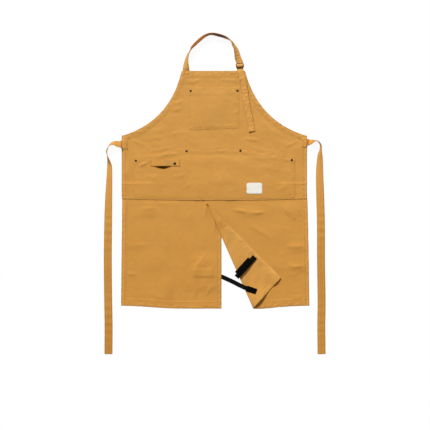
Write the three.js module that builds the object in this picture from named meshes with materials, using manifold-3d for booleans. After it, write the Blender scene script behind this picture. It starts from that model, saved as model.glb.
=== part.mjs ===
// A split-leg work apron lying face up on a flat surface.
// Millimetres, +Z up, +Y towards the bib. The origin is the middle of the waist line, on that surface.
import * as THREE from "three";
import { mergeVertices } from "three/addons/utils/BufferGeometryUtils.js";
import Module from "manifold-3d";

const { clamp, degToRad, lerp, smoothstep } = THREE.MathUtils;

// Cloth layers
const WALL = 1.2;
const REST = 0.4;
const LAYER = WALL + REST;
const SIDE_HEM = 18;

// Body: bib and waist in one panel
const WAIST_HALF = 360.5;
const WAIST_TOP = 33;
const BIB_TOP = 288;
const BIB_HALF = 123;
const BIB_LEAN = -4;
const BODY_LOW = -209;
const BODY_BOW = 7;
const ARMHOLE = {
  startPull: 65,
  startSlope: 0.25,
  endPull: 175.5,
  endSlope: 0.288,
  endHalf: WAIST_HALF,
  endY: 35,
};
const BODY_COLUMNS = 27;
const ARMHOLE_ROWS = 13;
const BODY_ROWS = [BODY_LOW, -190, -170, -152, -140, -115, -90, -65, -48, -32, -18, 28, WAIST_TOP];

// Where the body steps up over the skirts, and over the two skirts at the slit
const SKIRT_STEP = { low: -152, high: -140 };
const OVERLAP = { full: 69, none: 96 };
// Where the body rises over the ends of the ties and straps sewn behind it
const TIE_RISE = { edge: 315, full: 342, lowEdge: -32, low: -18, top: 28, topEdge: 46 };
const STRAP_RISE = { leftEdge: -76, left: -92, rightEdge: 64, right: 82, lowEdge: 232, low: 254 };

// Skirts, each cut with a slight flare
const SKIRT_TOP = -156;
const SKIRT_HEM = { inner: -638, middle: -637, outer: -626, curveFrom: 130 };
const LEFT_SKIRT = { inner: 27, topOuter: -358, lowOuter: -363, columns: 14, rows: 18 };
const RIGHT_SKIRT = { inner: -36, innerLean: 0.047, topOuter: 358, lowOuter: 369.5 };
const RIGHT_CLIMB = { full: 34, none: 60 };
const STRAP_SWELL = { x: -75, top: -450, low: -550, fade: 32 };

// The turned-back corner of the right skirt
const TURN_ANGLE = degToRad(23.8);
const TURN_RADIUS = 4;
const TURN_START = { x: -29.6, y: -218 };
const TURN_CLOSED = 34;
const TURN_SETTLE = { from: 5, to: 70, sharpness: 4 };
const HEM_LIFT = { from: -540, height: 7, atFold: 0.35, cornerFrom: 40, cornerTo: 140 };
const FLAP_COLUMNS = 9;
const ARC_COLUMNS = 4;
const PANEL_COLUMNS = 13;
const TURN_ROWS = [-226, -235, -244, -254];
const PLAIN_ROWS = 16;

// Pockets
const POCKET_EASE = 5;
const CHEST_POCKET = { left: -101, leftLow: -95, right: 97, top: 224, low: 61, columns: 8, rows: 8 };
const CHEST_EASE = { flatSide: 0.08, fullSide: 0.25, fullUp: 0.375 };
const WAIST_POCKET = { sewnHalf: 96, sewnTop: -10.5, cornerTop: -50, seam: 5 };
const WAIST_GRID = { columnsIn: 2, lastRow: -65, topRows: 3 };
const WAIST_EASE = { flatSide: 20, fullSide: 70, fullRow: -170, sewnHalf: 118, openHalf: 145, sewnUp: 0.6 };

// Straps
const NECK_WIDTH = 25;
const NECK_WALL = 1.6;
const TIE_WIDTH = 30;
const TIE_WALL = 2;
const WEB_WIDTH = 16;
const WEB_WALL = 1.6;
const WEB_CLEAR = 0.9;
const WEB_CLIMB = { from: -32, to: -4 };
const PAD = { width: 21, wall: 1.6, clear: 0.4 };
const STRAP_STEPS = 2;

// Slider and the tab that holds its middle bar
const SLIDER = { x: 99.4, y: 309.3, turn: 5, width: 31.4, height: 21, bar: 2.2, thick: 2, low: 5 };
const SLIDER_CORNER = { outer: 5, inner: 1, segments: 3 };
const ANCHOR = { wall: 1, from: 258, flatTo: 297, inner: 1.75 };
const WRAP = { rampBack: 3, rampDrop: 0.4, startDeg: -90, endDeg: 150, steps: 12 };

// Towel loop, label and metal trims
const LOOP = { left: -247, right: -134, y: -70.6, width: 24, wall: 1.4, steps: 18 };
const LOOP_BOW = { height: 12, left: -238, right: -164 };
const LABEL = { left: 126, right: 186, rows: [-190, -170, -152, -148], wall: 1, columns: 4 };
const RIVET = { cap: 4.5, rim: 0.7, dome: 1.2, shank: 1.5 };
const SNAP = { cap: 5.2, rim: 0.9, dome: 1.3, shank: 1.7 };
const DOME_SHOULDER = 0.7;
const BORE_CLEAR = 0.35;
const ROUND_SIDES = 12;
const BORE_SIDES = 8;
const SHANK_END = 0.1;
const CAP_CLEAR = 0.3;
const ABOVE_ALL = 60;
const MERGE_WITHIN = 1e-4;

// Folds: middle, direction in degrees from +X, half length, half width and height
const BODY_FOLDS = [
  { x: -158, y: 146, turn: 24, long: 46, wide: 26, high: 3 },
  { x: -205, y: 62, turn: 32, long: 60, wide: 26, high: 2.5 },
  { x: 208, y: 60, turn: -34, long: 60, wide: 26, high: 2.5 },
  { x: -336, y: -95, turn: 88, long: 52, wide: 24, high: 2 },
];
const LEFT_FOLDS = [
  { x: -56, y: -470, turn: 46, long: 62, wide: 30, high: 5 },
  { x: -300, y: -392, turn: 2, long: 70, wide: 30, high: 4 },
  { x: -258, y: -262, turn: 4, long: 80, wide: 30, high: 3 },
  { x: -180, y: -560, turn: 84, long: 70, wide: 34, high: 3 },
];
const RIGHT_FOLDS = [
  { x: 140, y: -262, turn: -5, long: 80, wide: 30, high: 4 },
  { x: 300, y: -262, turn: -60, long: 50, wide: 28, high: 4 },
  { x: 326, y: -400, turn: 4, long: 60, wide: 30, high: 3 },
  { x: 320, y: -476, turn: -4, long: 60, wide: 30, high: 3 },
];

// Strap routes: middle line in plan, height of what it lies on, and roll about its own run in degrees
const LOOP_ROUTE = [
  { x: -110.6, y: 261, rise: 0, roll: 0 },
  { x: -110.6, y: 276, rise: 0, roll: 0 },
  { x: -110.6, y: 289, rise: 0, roll: 0 },
  { x: -110.6, y: 293, rise: 0, roll: 0 },
  { x: -110.4, y: 301, rise: 1, roll: 20 },
  { x: -109.8, y: 314, rise: 0.8, roll: 41 },
  { x: -107, y: 335, rise: 0, roll: 66 },
  { x: -102, y: 352, rise: 0, roll: 80 },
  { x: -93.4, y: 368, rise: 0, roll: 86 },
  { x: -87.4, y: 380, rise: 0, roll: 76 },
  { x: -67.7, y: 400.7, rise: 0, roll: 68 },
  { x: -42.9, y: 421.5, rise: 0, roll: 69 },
  { x: -17.5, y: 432.8, rise: 0, roll: 74 },
  { x: 7, y: 431.3, rise: 0, roll: 69 },
  { x: 30.2, y: 425, rise: 0, roll: 70 },
  { x: 53.6, y: 413.8, rise: 0, roll: 78 },
  { x: 64.3, y: 406.1, rise: 0, roll: 85 },
  { x: 75, y: 388, rise: 0, roll: 64 },
  { x: 80.9, y: 378.4, rise: 0, roll: 59 },
  { x: 85.4, y: 367.5, rise: 0, roll: 42 },
  { x: 88, y: 357, rise: 0, roll: 22 },
  { x: 90, y: 347, rise: 0, roll: 9 },
  { x: 93.4, y: 334, rise: 0.3, roll: 2 },
];
// Through the slider: distance before its middle bar, and height
const WEAVE_ROUTE = [
  { before: 15.5, rise: 0.8 },
  { before: 11, rise: 1.2 },
  { before: 7.6, rise: 3 },
  { before: 4.6, rise: 7 },
  { before: 2, rise: 9.2 },
  { before: 0, rise: 9.5 },
  { before: -2, rise: 9.2 },
  { before: -4.6, rise: 7 },
  { before: -7.6, rise: 3.2 },
  { before: -11, rise: 2 },
  { before: -16, rise: 3.8 },
  { before: -22, rise: 5.2 },
];
const TAIL_ROUTE = [
  { x: 107, y: 268, rise: 5.2, roll: 0 },
  { x: 112, y: 246, rise: 4, roll: 0 },
  { x: 116, y: 222, rise: 2.8, roll: 0 },
  { x: 121, y: 190, rise: 2, roll: 0 },
  { x: 127, y: 152, rise: 2.4, roll: 0 },
  { x: 136, y: 112, rise: 2, roll: 0 },
  { x: 142, y: 80, rise: 2.6, roll: 0 },
  { x: 147, y: 53, rise: 4, roll: 8 },
];
const LEFT_TIE_ROUTE = [
  { x: -341, y: 0, rise: 0, roll: 0 },
  { x: -353, y: 0.3, rise: 0, roll: 0 },
  { x: -362, y: 1.1, rise: 0, roll: 0 },
  { x: -365, y: 1.7, rise: 0, roll: 0 },
  { x: -368, y: 2.4, rise: 0, roll: -22 },
  { x: -373, y: 3.6, rise: 0, roll: -36 },
  { x: -380, y: 4.6, rise: 0, roll: -47 },
  { x: -391, y: 6, rise: 0, roll: -58 },
  { x: -403, y: 3, rise: 0, roll: -74 },
  { x: -413, y: -8.5, rise: 0, roll: -86 },
  { x: -419, y: -23, rise: 0, roll: -92 },
  { x: -417, y: -41, rise: 0, roll: -86 },
  { x: -412, y: -60, rise: 0, roll: -72 },
  { x: -408, y: -80, rise: 0, roll: -54 },
  { x: -408, y: -98, rise: 0, roll: -47 },
  { x: -409, y: -136, rise: 0, roll: -40 },
  { x: -412, y: -214, rise: 0, roll: -24 },
  { x: -414, y: -312, rise: 0, roll: -10 },
  { x: -415.5, y: -448, rise: 0, roll: 0 },
  { x: -414, y: -604, rise: 0, roll: 0 },
  { x: -412.5, y: -702, rise: 0, roll: 0 },
  { x: -413, y: -815, rise: 0, roll: 0 },
];
const RIGHT_TIE_ROUTE = [
  { x: 342, y: 8, rise: 0, roll: 0 },
  { x: 353, y: 8, rise: 0, roll: 0 },
  { x: 362, y: 8.2, rise: 0, roll: 0 },
  { x: 365, y: 8.5, rise: 0, roll: 0 },
  { x: 368, y: 9, rise: 0, roll: 28 },
  { x: 373, y: 10, rise: 0, roll: 46 },
  { x: 380, y: 12, rise: 0, roll: 58 },
  { x: 390, y: 15, rise: 0, roll: 74 },
  { x: 398, y: 16.4, rise: 0, roll: 88 },
  { x: 408, y: 10.5, rise: 0, roll: 92 },
  { x: 414.5, y: -4, rise: 0, roll: 97 },
  { x: 413.5, y: -23, rise: 0, roll: 105 },
  { x: 411.5, y: -41, rise: 0, roll: 124 },
  { x: 411, y: -60, rise: 0, roll: 135 },
  { x: 410, y: -98, rise: 0, roll: 148 },
  { x: 410.5, y: -136, rise: 0, roll: 157 },
  { x: 413, y: -214, rise: 0, roll: 170 },
  { x: 415.5, y: -312, rise: 0, roll: 178 },
  { x: 416, y: -448, rise: 0, roll: 180 },
  { x: 418, y: -604, rise: 0, roll: 180 },
  { x: 417, y: -702, rise: 0, roll: 180 },
  { x: 418, y: -815, rise: 0, roll: 180 },
];

// Leg straps: plan points, with the height worked out from what lies below
const LEFT_WEB_ROUTE = [
  { x: -36, y: -488 },
  { x: 0, y: -502 },
  { x: 26, y: -512.5 },
  { x: 65, y: -530 },
  { x: 84, y: -539.5 },
  { x: 96, y: -545.5 },
  { x: 106, y: -550 },
  { x: 120, y: -556.5 },
  { x: 140, y: -564 },
  { x: 161, y: -570.5 },
];
const RIGHT_WEB = { row: -503.6, from: -15, to: 91, width: 19.5, steps: 6 };
const LEFT_PAD = { from: 126, to: 163, steps: 4 };
const RIGHT_PAD = { from: -4, to: 72, offset: 6, width: 24 };

// Rivet places: pocket corners
const RIVETS = [
  { name: "rivet_chest_left", x: -92.5, y: 210.5, pocket: "chest" },
  { name: "rivet_chest_right", x: 90, y: 212, pocket: "chest" },
  { name: "rivet_waist_1", x: -306, y: -61.5, pocket: "waist" },
  { name: "rivet_waist_2", x: -108.5, y: -23.5, pocket: "waist" },
  { name: "rivet_waist_3", x: 101.5, y: -22.5, pocket: "waist" },
  { name: "rivet_waist_4", x: 302, y: -59, pocket: "waist" },
];
const SNAP_PLACE = { x: -154.5, y: -72.5 };

// Materials
const canvas = new THREE.MeshStandardMaterial({ name: "mustard canvas", color: "#cf984d", roughness: 0.92 });
const webbing = new THREE.MeshStandardMaterial({ name: "black webbing", color: "#1b1a1d", roughness: 0.85 });
const metal = new THREE.MeshStandardMaterial({
  name: "antique metal",
  color: "#3a2620",
  roughness: 0.45,
  metalness: 0.8,
});
const cream = new THREE.MeshStandardMaterial({ name: "cream label", color: "#ece3d2", roughness: 0.9 });

const wasm = await Module();
wasm.setup();

const apron = new THREE.Group();

function piece(name, geometry, material) {
  geometry.computeVertexNormals();
  const mesh = new THREE.Mesh(geometry, material);
  mesh.name = name;
  apron.add(mesh);
}

// From 0 at one value to 1 at another, in a straight line, held at both ends
function ramp(value, none, full) {
  return clamp((value - none) / (full - none), 0, 1);
}

// A closed wall over a grid: place(i, j, side) puts column i of row j on the lower (0) or upper (1) side
function gridWall(columns, rows, place) {
  const points = [];
  const triangles = [];
  const at = (i, j, side) => (side * (rows + 1) + j) * (columns + 1) + i;
  const quad = (a, b, c, d) => triangles.push(a, b, c, a, c, d);
  for (const side of [0, 1]) {
    for (let j = 0; j <= rows; j++) {
      for (let i = 0; i <= columns; i++) {
        points.push(...place(i, j, side));
      }
    }
  }
  for (let j = 0; j < rows; j++) {
    for (let i = 0; i < columns; i++) {
      quad(at(i, j, 1), at(i + 1, j, 1), at(i + 1, j + 1, 1), at(i, j + 1, 1));
      quad(at(i, j, 0), at(i, j + 1, 0), at(i + 1, j + 1, 0), at(i + 1, j, 0));
    }
    quad(at(0, j + 1, 0), at(0, j, 0), at(0, j, 1), at(0, j + 1, 1));
    quad(at(columns, j, 0), at(columns, j + 1, 0), at(columns, j + 1, 1), at(columns, j, 1));
  }
  for (let i = 0; i < columns; i++) {
    quad(at(i, 0, 0), at(i + 1, 0, 0), at(i + 1, 0, 1), at(i, 0, 1));
    quad(at(i + 1, rows, 0), at(i, rows, 0), at(i, rows, 1), at(i + 1, rows, 1));
  }
  const geometry = new THREE.BufferGeometry();
  geometry.setAttribute("position", new THREE.Float32BufferAttribute(points, 3));
  geometry.setIndex(triangles);
  return geometry;
}

// Solids for cutting, and back
function solidOf(geometry) {
  const bare = geometry.clone();
  bare.deleteAttribute("normal");
  bare.deleteAttribute("uv");
  const merged = mergeVertices(bare, MERGE_WITHIN);
  const vertProperties = new Float32Array(merged.getAttribute("position").array);
  const triVerts = new Uint32Array(merged.getIndex().array);
  return new wasm.Manifold(new wasm.Mesh({ numProp: 3, vertProperties, triVerts }));
}

function geometryOf(solid) {
  const mesh = solid.getMesh();
  const geometry = new THREE.BufferGeometry();
  geometry.setAttribute("position", new THREE.BufferAttribute(mesh.vertProperties, 3));
  geometry.setIndex(new THREE.BufferAttribute(mesh.triVerts, 1));
  return geometry;
}

// Holes straight down through a cloth wall for the shanks of rivets and snaps
function punched(geometry, holes) {
  let solid = solidOf(geometry);
  for (const hole of holes) {
    const bore = new THREE.CylinderGeometry(hole.radius, hole.radius, 2 * ABOVE_ALL, BORE_SIDES);
    bore.rotateX(Math.PI / 2);
    bore.translate(hole.x, hole.y, 0);
    solid = solid.subtract(solidOf(bore));
  }
  return geometryOf(solid);
}

// Height that a table of folds adds at a point
function foldHeight(folds, x, y) {
  const swell = (t) => (Math.abs(t) < 1 ? Math.cos((t * Math.PI) / 2) ** 2 : 0);
  let height = 0;
  for (const fold of folds) {
    const turn = degToRad(fold.turn);
    const along = (x - fold.x) * Math.cos(turn) + (y - fold.y) * Math.sin(turn);
    const aside = (y - fold.y) * Math.cos(turn) - (x - fold.x) * Math.sin(turn);
    height += fold.high * swell(along / fold.long) * swell(aside / fold.wide);
  }
  return height;
}

// Body panel

const armhole = new THREE.CubicBezierCurve(
  new THREE.Vector2(BIB_HALF, BIB_TOP),
  new THREE.Vector2(BIB_HALF + ARMHOLE.startSlope * ARMHOLE.startPull, BIB_TOP - ARMHOLE.startPull),
  new THREE.Vector2(ARMHOLE.endHalf - ARMHOLE.endPull, ARMHOLE.endY + ARMHOLE.endSlope * ARMHOLE.endPull),
  new THREE.Vector2(ARMHOLE.endHalf, ARMHOLE.endY),
);

// Each row of the body: its height and its half width
const bodyRows = BODY_ROWS.map((y) => ({ y, half: WAIST_HALF }));
for (let k = ARMHOLE_ROWS; k >= 0; k--) {
  const point = armhole.getPoint(k / ARMHOLE_ROWS);
  bodyRows.push({ y: point.y, half: point.x });
}

function bodyColumn(i, half) {
  if (i === 0) return -half;
  if (i === BODY_COLUMNS) return half;
  return lerp(SIDE_HEM - half, half - SIDE_HEM, (i - 1) / (BODY_COLUMNS - 2));
}

function bodyBow(x) {
  return BODY_BOW * (1 - (x / WAIST_HALF) ** 2);
}

// Height of the body's underside over what lies below it
function bodyLift(x, y) {
  const overSkirts = ramp(y, SKIRT_STEP.high, SKIRT_STEP.low);
  const overBoth = ramp(Math.abs(x), OVERLAP.none, OVERLAP.full);
  const upTies = Math.min(ramp(y, TIE_RISE.lowEdge, TIE_RISE.low), ramp(y, TIE_RISE.topEdge, TIE_RISE.top));
  const overTies = upTies * ramp(Math.abs(x), TIE_RISE.edge, TIE_RISE.full);
  const upStraps = ramp(y, STRAP_RISE.lowEdge, STRAP_RISE.low);
  const overNeck = upStraps * ramp(x, STRAP_RISE.leftEdge, STRAP_RISE.left);
  const overAnchor = upStraps * ramp(x, STRAP_RISE.rightEdge, STRAP_RISE.right);
  const skirts = LAYER * overSkirts * (1 + overBoth);
  const bibStraps = (NECK_WALL + REST) * overNeck + (ANCHOR.wall + 2 * REST) * overAnchor;
  return skirts + bibStraps + (TIE_WALL + REST) * overTies + foldHeight(BODY_FOLDS, x, y);
}

function bodyPlace(i, j, side) {
  const row = bodyRows[j];
  const lean = BIB_LEAN * ramp(row.y, WAIST_TOP, BIB_TOP);
  const x = bodyColumn(i, row.half) + lean;
  const y = j === 0 ? row.y - bodyBow(x) : row.y;
  return [x, y, bodyLift(x, y) + side * WALL];
}

// Pockets

function chestPocketPlace(i, j, side) {
  const u = i / CHEST_POCKET.columns;
  const v = j / CHEST_POCKET.rows;
  const x = lerp(lerp(CHEST_POCKET.leftLow, CHEST_POCKET.left, v), CHEST_POCKET.right, u);
  const y = lerp(CHEST_POCKET.low, CHEST_POCKET.top, v);
  const fromSide = ramp(Math.min(u, 1 - u), CHEST_EASE.flatSide, CHEST_EASE.fullSide);
  const ease = POCKET_EASE * fromSide * ramp(v, 0, CHEST_EASE.fullUp);
  return [x, y, LAYER + ease + side * WALL];
}

// The waist pocket follows the body's own columns and rows, and then its slanted top edge
const pocketColumns = BODY_COLUMNS - 2 * WAIST_GRID.columnsIn;
const sharedRows = BODY_ROWS.filter((y) => y > BODY_LOW && y <= WAIST_GRID.lastRow);
const pocketRows = [BODY_LOW + WAIST_POCKET.seam, ...sharedRows];
const pocketHalf = bodyColumn(BODY_COLUMNS - WAIST_GRID.columnsIn, WAIST_HALF);

function pocketTop(x) {
  const slant = ramp(Math.abs(x), WAIST_POCKET.sewnHalf, pocketHalf);
  return lerp(WAIST_POCKET.sewnTop, WAIST_POCKET.cornerTop, slant);
}

// Height of the pocket's underside, slack between its sewn sides and bottom
function pocketLift(x, y) {
  const fromSide = ramp(pocketHalf - Math.abs(x), WAIST_EASE.flatSide, WAIST_EASE.fullSide);
  const fromLow = ramp(y, pocketRows[0], WAIST_EASE.fullRow);
  return bodyLift(x, y) + LAYER + POCKET_EASE * fromSide * fromLow;
}

function waistPocketPlace(i, j, side) {
  const x = bodyColumn(i + WAIST_GRID.columnsIn, WAIST_HALF);
  const topRow = j - pocketRows.length + 1;
  if (topRow <= 0) {
    const y = j === 0 ? pocketRows[0] - bodyBow(x) : pocketRows[j];
    return [x, y, pocketLift(x, pocketRows[j]) + side * WALL];
  }
  const up = topRow / WAIST_GRID.topRows;
  const y = lerp(pocketRows.at(-1), pocketTop(x), up);
  const sewn = ramp(Math.abs(x), WAIST_EASE.openHalf, WAIST_EASE.sewnHalf) * ramp(up, 0, WAIST_EASE.sewnUp);
  return [x, y, pocketLift(x, y) - POCKET_EASE * sewn + side * WALL];
}

// Skirts

function hemHeight(x) {
  const outer = x < 0 ? -LEFT_SKIRT.lowOuter : RIGHT_SKIRT.lowOuter;
  return lerp(SKIRT_HEM.middle, SKIRT_HEM.outer, smoothstep(Math.abs(x), SKIRT_HEM.curveFrom, outer));
}

function leftSkirtPlace(i, j, side) {
  const down = 1 - j / LEFT_SKIRT.rows;
  const outer = lerp(LEFT_SKIRT.topOuter, LEFT_SKIRT.lowOuter, down);
  const x = lerp(outer, LEFT_SKIRT.inner, i / LEFT_SKIRT.columns);
  const y = lerp(SKIRT_TOP, hemHeight(x), down);
  const beside = ramp(x, STRAP_SWELL.x - STRAP_SWELL.fade, STRAP_SWELL.x);
  const below = ramp(y, STRAP_SWELL.top + STRAP_SWELL.fade, STRAP_SWELL.top);
  const above = ramp(y, STRAP_SWELL.low - STRAP_SWELL.fade, STRAP_SWELL.low);
  const swell = (WEB_WALL + REST) * beside * Math.min(below, above);
  return [x, y, swell + foldHeight(LEFT_FOLDS, x, y) + side * WALL];
}

// Where the right skirt starts to turn back, and how far it has turned, on a row
const turnSlope = Math.tan(TURN_ANGLE);

function turnLine(y) {
  return TURN_START.x + turnSlope * Math.max(0, TURN_START.y - y);
}

function turnAmount(y) {
  return Math.PI * smoothstep(TURN_START.y - y, 0, TURN_CLOSED);
}

function rightFloor(x) {
  return LAYER * ramp(x, RIGHT_CLIMB.none, RIGHT_CLIMB.full);
}

// Height of the turned-back flap's face over the panel, past the bend: aside from the bend, on a row
function flapFace(aside, row) {
  const touching = 2 * WALL + REST;
  const settled = lerp(2 * TURN_RADIUS, touching, smoothstep(aside, TURN_SETTLE.from, TURN_SETTLE.to));
  const hem = smoothstep(HEM_LIFT.from - row, 0, HEM_LIFT.from - SKIRT_HEM.inner);
  const corner = lerp(HEM_LIFT.atFold, 1, smoothstep(aside, HEM_LIFT.cornerFrom, HEM_LIFT.cornerTo));
  return settled + HEM_LIFT.height * hem * corner;
}

// Height of the flap's face at a point in plan
function flapTop(x, y) {
  const run = x - turnLine(y);
  const row = y - Math.sin(2 * TURN_ANGLE) * run;
  return rightFloor(x) + flapFace(Math.max(0, run * Math.cos(TURN_ANGLE)), row);
}

const rightRows = [SKIRT_TOP, (SKIRT_TOP + TURN_START.y) / 2, TURN_START.y, ...TURN_ROWS];

function rightRow(j, inner) {
  if (j < rightRows.length) return rightRows[j];
  const down = (j - rightRows.length + 1) / PLAIN_ROWS;
  return lerp(rightRows.at(-1), inner, down);
}

// A point of the flap: the bend is an arc, and the rest lies back over the panel
function flapPlace(k, row, side) {
  const inner = RIGHT_SKIRT.inner + RIGHT_SKIRT.innerLean * Math.max(0, TURN_START.y - row);
  const start = turnLine(row);
  const total = (start - inner) * Math.cos(TURN_ANGLE);
  const arc = Math.PI * TURN_RADIUS;
  const arcEnd = Math.min(arc, (total * ARC_COLUMNS) / FLAP_COLUMNS);
  const inArc = k <= ARC_COLUMNS;
  const outside = (k - ARC_COLUMNS) / (FLAP_COLUMNS - ARC_COLUMNS);
  const run = inArc ? (arcEnd * k) / ARC_COLUMNS : lerp(arcEnd, total, outside);
  const amount = turnAmount(row);
  const bend = Math.min(run / TURN_RADIUS, amount);
  const straight = run - bend * TURN_RADIUS;
  const aside = -TURN_RADIUS * Math.sin(bend) - straight * Math.cos(bend);
  const height = TURN_RADIUS * (1 - Math.cos(bend)) + straight * Math.sin(bend);
  const closed = ((amount / Math.PI) * (bend / Math.PI)) ** TURN_SETTLE.sharpness;
  const lying = lerp(height, flapFace(Math.max(0, aside), row), closed);
  const back = run * Math.tan(TURN_ANGLE);
  const reach = aside + side * WALL * Math.sin(bend);
  const x = start - back * Math.sin(TURN_ANGLE) + reach * Math.cos(TURN_ANGLE);
  const y = row + back * Math.cos(TURN_ANGLE) + reach * Math.sin(TURN_ANGLE);
  const floor = rightFloor(start);
  const settle = lerp(floor, rightFloor(x), closed);
  return [x, y, settle + lying + side * WALL * Math.cos(bend)];
}

const rightSkirtRows = rightRows.length - 1 + PLAIN_ROWS;

function rightSkirtPlace(i, j, side) {
  const fromTop = rightSkirtRows - j;
  const hemRow = rightRow(fromTop, SKIRT_HEM.inner);
  if (i < FLAP_COLUMNS) return flapPlace(FLAP_COLUMNS - i, hemRow, side);
  const start = turnLine(hemRow);
  const down = ramp(hemRow, SKIRT_TOP, SKIRT_HEM.inner);
  const outer = lerp(RIGHT_SKIRT.topOuter, RIGHT_SKIRT.lowOuter, Math.sqrt(down));
  const x = lerp(start, outer, (i - FLAP_COLUMNS) / PANEL_COLUMNS);
  const y = i === FLAP_COLUMNS ? hemRow : rightRow(fromTop, hemHeight(x));
  return [x, y, rightFloor(x) + foldHeight(RIGHT_FOLDS, x, y) + side * WALL];
}

// Straps

// A ribbon through sections, each with its middle, its direction across and its upward face
function ribbon(sections, width, wall) {
  return gridWall(1, sections.length - 1, (i, j, side) => {
    const { middle, across, face } = sections[j];
    const point = middle.clone();
    point.addScaledVector(across, (i - 0.5) * width);
    point.addScaledVector(face, (side - 0.5) * wall);
    return point.toArray();
  });
}

// Sections of a strap along a route: its lower edge rests at the route's height while it rolls
function strapSections(route, width, wall) {
  const steps = (route.length - 1) * STRAP_STEPS;
  const places = route.map((s) => new THREE.Vector3(s.x, s.y, 0));
  const levels = route.map((s) => new THREE.Vector3(degToRad(s.roll), s.rise, 0));
  const plan = new THREE.CatmullRomCurve3(places, false, "catmullrom");
  const level = new THREE.CatmullRomCurve3(levels, false, "catmullrom");
  const middles = [];
  const rolls = [];
  for (let k = 0; k <= steps; k++) {
    const point = plan.getPoint(k / steps);
    const { x: roll, y: rise } = level.getPoint(k / steps);
    const half = (width * Math.abs(Math.sin(roll)) + wall * Math.abs(Math.cos(roll))) / 2;
    middles.push(new THREE.Vector3(point.x, point.y, Math.max(0, rise) + half));
    rolls.push(roll);
  }
  return middles.map((middle, k) => {
    const before = middles[Math.max(0, k - 1)];
    const after = middles[Math.min(steps, k + 1)];
    const run = after.clone().sub(before).normalize();
    const aside = new THREE.Vector3(run.y, -run.x, 0).normalize();
    const up = aside.clone().cross(run);
    const across = aside.clone().multiplyScalar(Math.cos(rolls[k])).addScaledVector(up, Math.sin(rolls[k]));
    return { middle, across, face: across.clone().cross(run).normalize() };
  });
}

function strap(route, width, wall) {
  return ribbon(strapSections(route, width, wall), width, wall);
}

// The neck strap runs round the loop, weaves through the slider and ends in a loose tail
const slant = degToRad(SLIDER.turn);
const weave = WEAVE_ROUTE.map(({ before, rise }) => ({
  x: SLIDER.x - before * Math.sin(slant),
  y: SLIDER.y + before * Math.cos(slant),
  rise,
  roll: 0,
}));
const neckRoute = [...LOOP_ROUTE, ...weave, ...TAIL_ROUTE];

// Height of the left leg strap: under the left skirt, along the surface, then up over the turned-back corner
function leftWebRise(x, y) {
  const aside = (x - turnLine(y)) * Math.cos(TURN_ANGLE);
  const climb = smoothstep(aside, WEB_CLIMB.from, WEB_CLIMB.to);
  return climb * (flapTop(x, y) + WEB_CLEAR);
}

const leftWebRoute = LEFT_WEB_ROUTE.map((s) => ({ ...s, rise: leftWebRise(s.x, s.y), roll: 0 }));

// The right leg strap lies along a row of the flap, and its end stands out past the bend
function rightWebRoute(from, to, offset, above) {
  const start = turnLine(RIGHT_WEB.row);
  const route = [];
  for (let k = 0; k <= RIGHT_WEB.steps; k++) {
    const run = lerp(to, from, k / RIGHT_WEB.steps);
    const x = start + run * Math.cos(2 * TURN_ANGLE) - offset * Math.sin(2 * TURN_ANGLE);
    const y = RIGHT_WEB.row + run * Math.sin(2 * TURN_ANGLE) + offset * Math.cos(2 * TURN_ANGLE);
    route.push({ x, y, rise: flapTop(x, y) + WEB_CLEAR + above, roll: 0 });
  }
  return route;
}

function leftPadRoute() {
  const first = LEFT_WEB_ROUTE.at(-3);
  const last = LEFT_WEB_ROUTE.at(-1);
  const route = [];
  for (let k = 0; k <= LEFT_PAD.steps; k++) {
    const x = lerp(LEFT_PAD.from, LEFT_PAD.to, k / LEFT_PAD.steps);
    const y = lerp(first.y, last.y, (x - first.x) / (last.x - first.x));
    route.push({ x, y, rise: leftWebRise(x, y) + WEB_WALL + PAD.clear, roll: 0 });
  }
  return route;
}

// The tab under the slider: flat out of the bib's corner, then up and round the middle bar
function anchorSections() {
  const radius = ANCHOR.inner + ANCHOR.wall / 2;
  const barHeight = SLIDER.low + SLIDER.thick / 2;
  const points = [];
  const flat = REST + ANCHOR.wall / 2;
  points.push({ y: ANCHOR.from, z: flat });
  points.push({ y: ANCHOR.flatTo, z: flat });
  points.push({ y: SLIDER.y - WRAP.rampBack, z: barHeight - radius - WRAP.rampDrop });
  for (let k = 0; k <= WRAP.steps; k++) {
    const angle = degToRad(lerp(WRAP.startDeg, WRAP.endDeg, k / WRAP.steps));
    points.push({ y: SLIDER.y + radius * Math.cos(angle), z: barHeight + radius * Math.sin(angle) });
  }
  return points.map((point, k) => {
    const before = points[Math.max(0, k - 1)];
    const after = points[Math.min(points.length - 1, k + 1)];
    const run = new THREE.Vector3(0, after.y - before.y, after.z - before.z).normalize();
    const across = new THREE.Vector3(1, 0, 0);
    return { middle: new THREE.Vector3(SLIDER.x, point.y, point.z), across, face: across.clone().cross(run) };
  });
}

// The slider and its tab follow the strap's slant
function turnedAtSlider(geometry) {
  geometry.translate(-SLIDER.x, -SLIDER.y, 0);
  geometry.rotateZ(degToRad(SLIDER.turn));
  return geometry.translate(SLIDER.x, SLIDER.y, 0);
}

// Slider: a rounded frame with a middle bar
function roundedOutline(path, left, low, right, top, corner) {
  path.moveTo(left + corner, low);
  path.lineTo(right - corner, low);
  path.absarc(right - corner, low + corner, corner, -Math.PI / 2, 0);
  path.lineTo(right, top - corner);
  path.absarc(right - corner, top - corner, corner, 0, Math.PI / 2);
  path.lineTo(left + corner, top);
  path.absarc(left + corner, top - corner, corner, Math.PI / 2, Math.PI);
  path.lineTo(left, low + corner);
  path.absarc(left + corner, low + corner, corner, Math.PI, 1.5 * Math.PI);
  return path;
}

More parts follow.
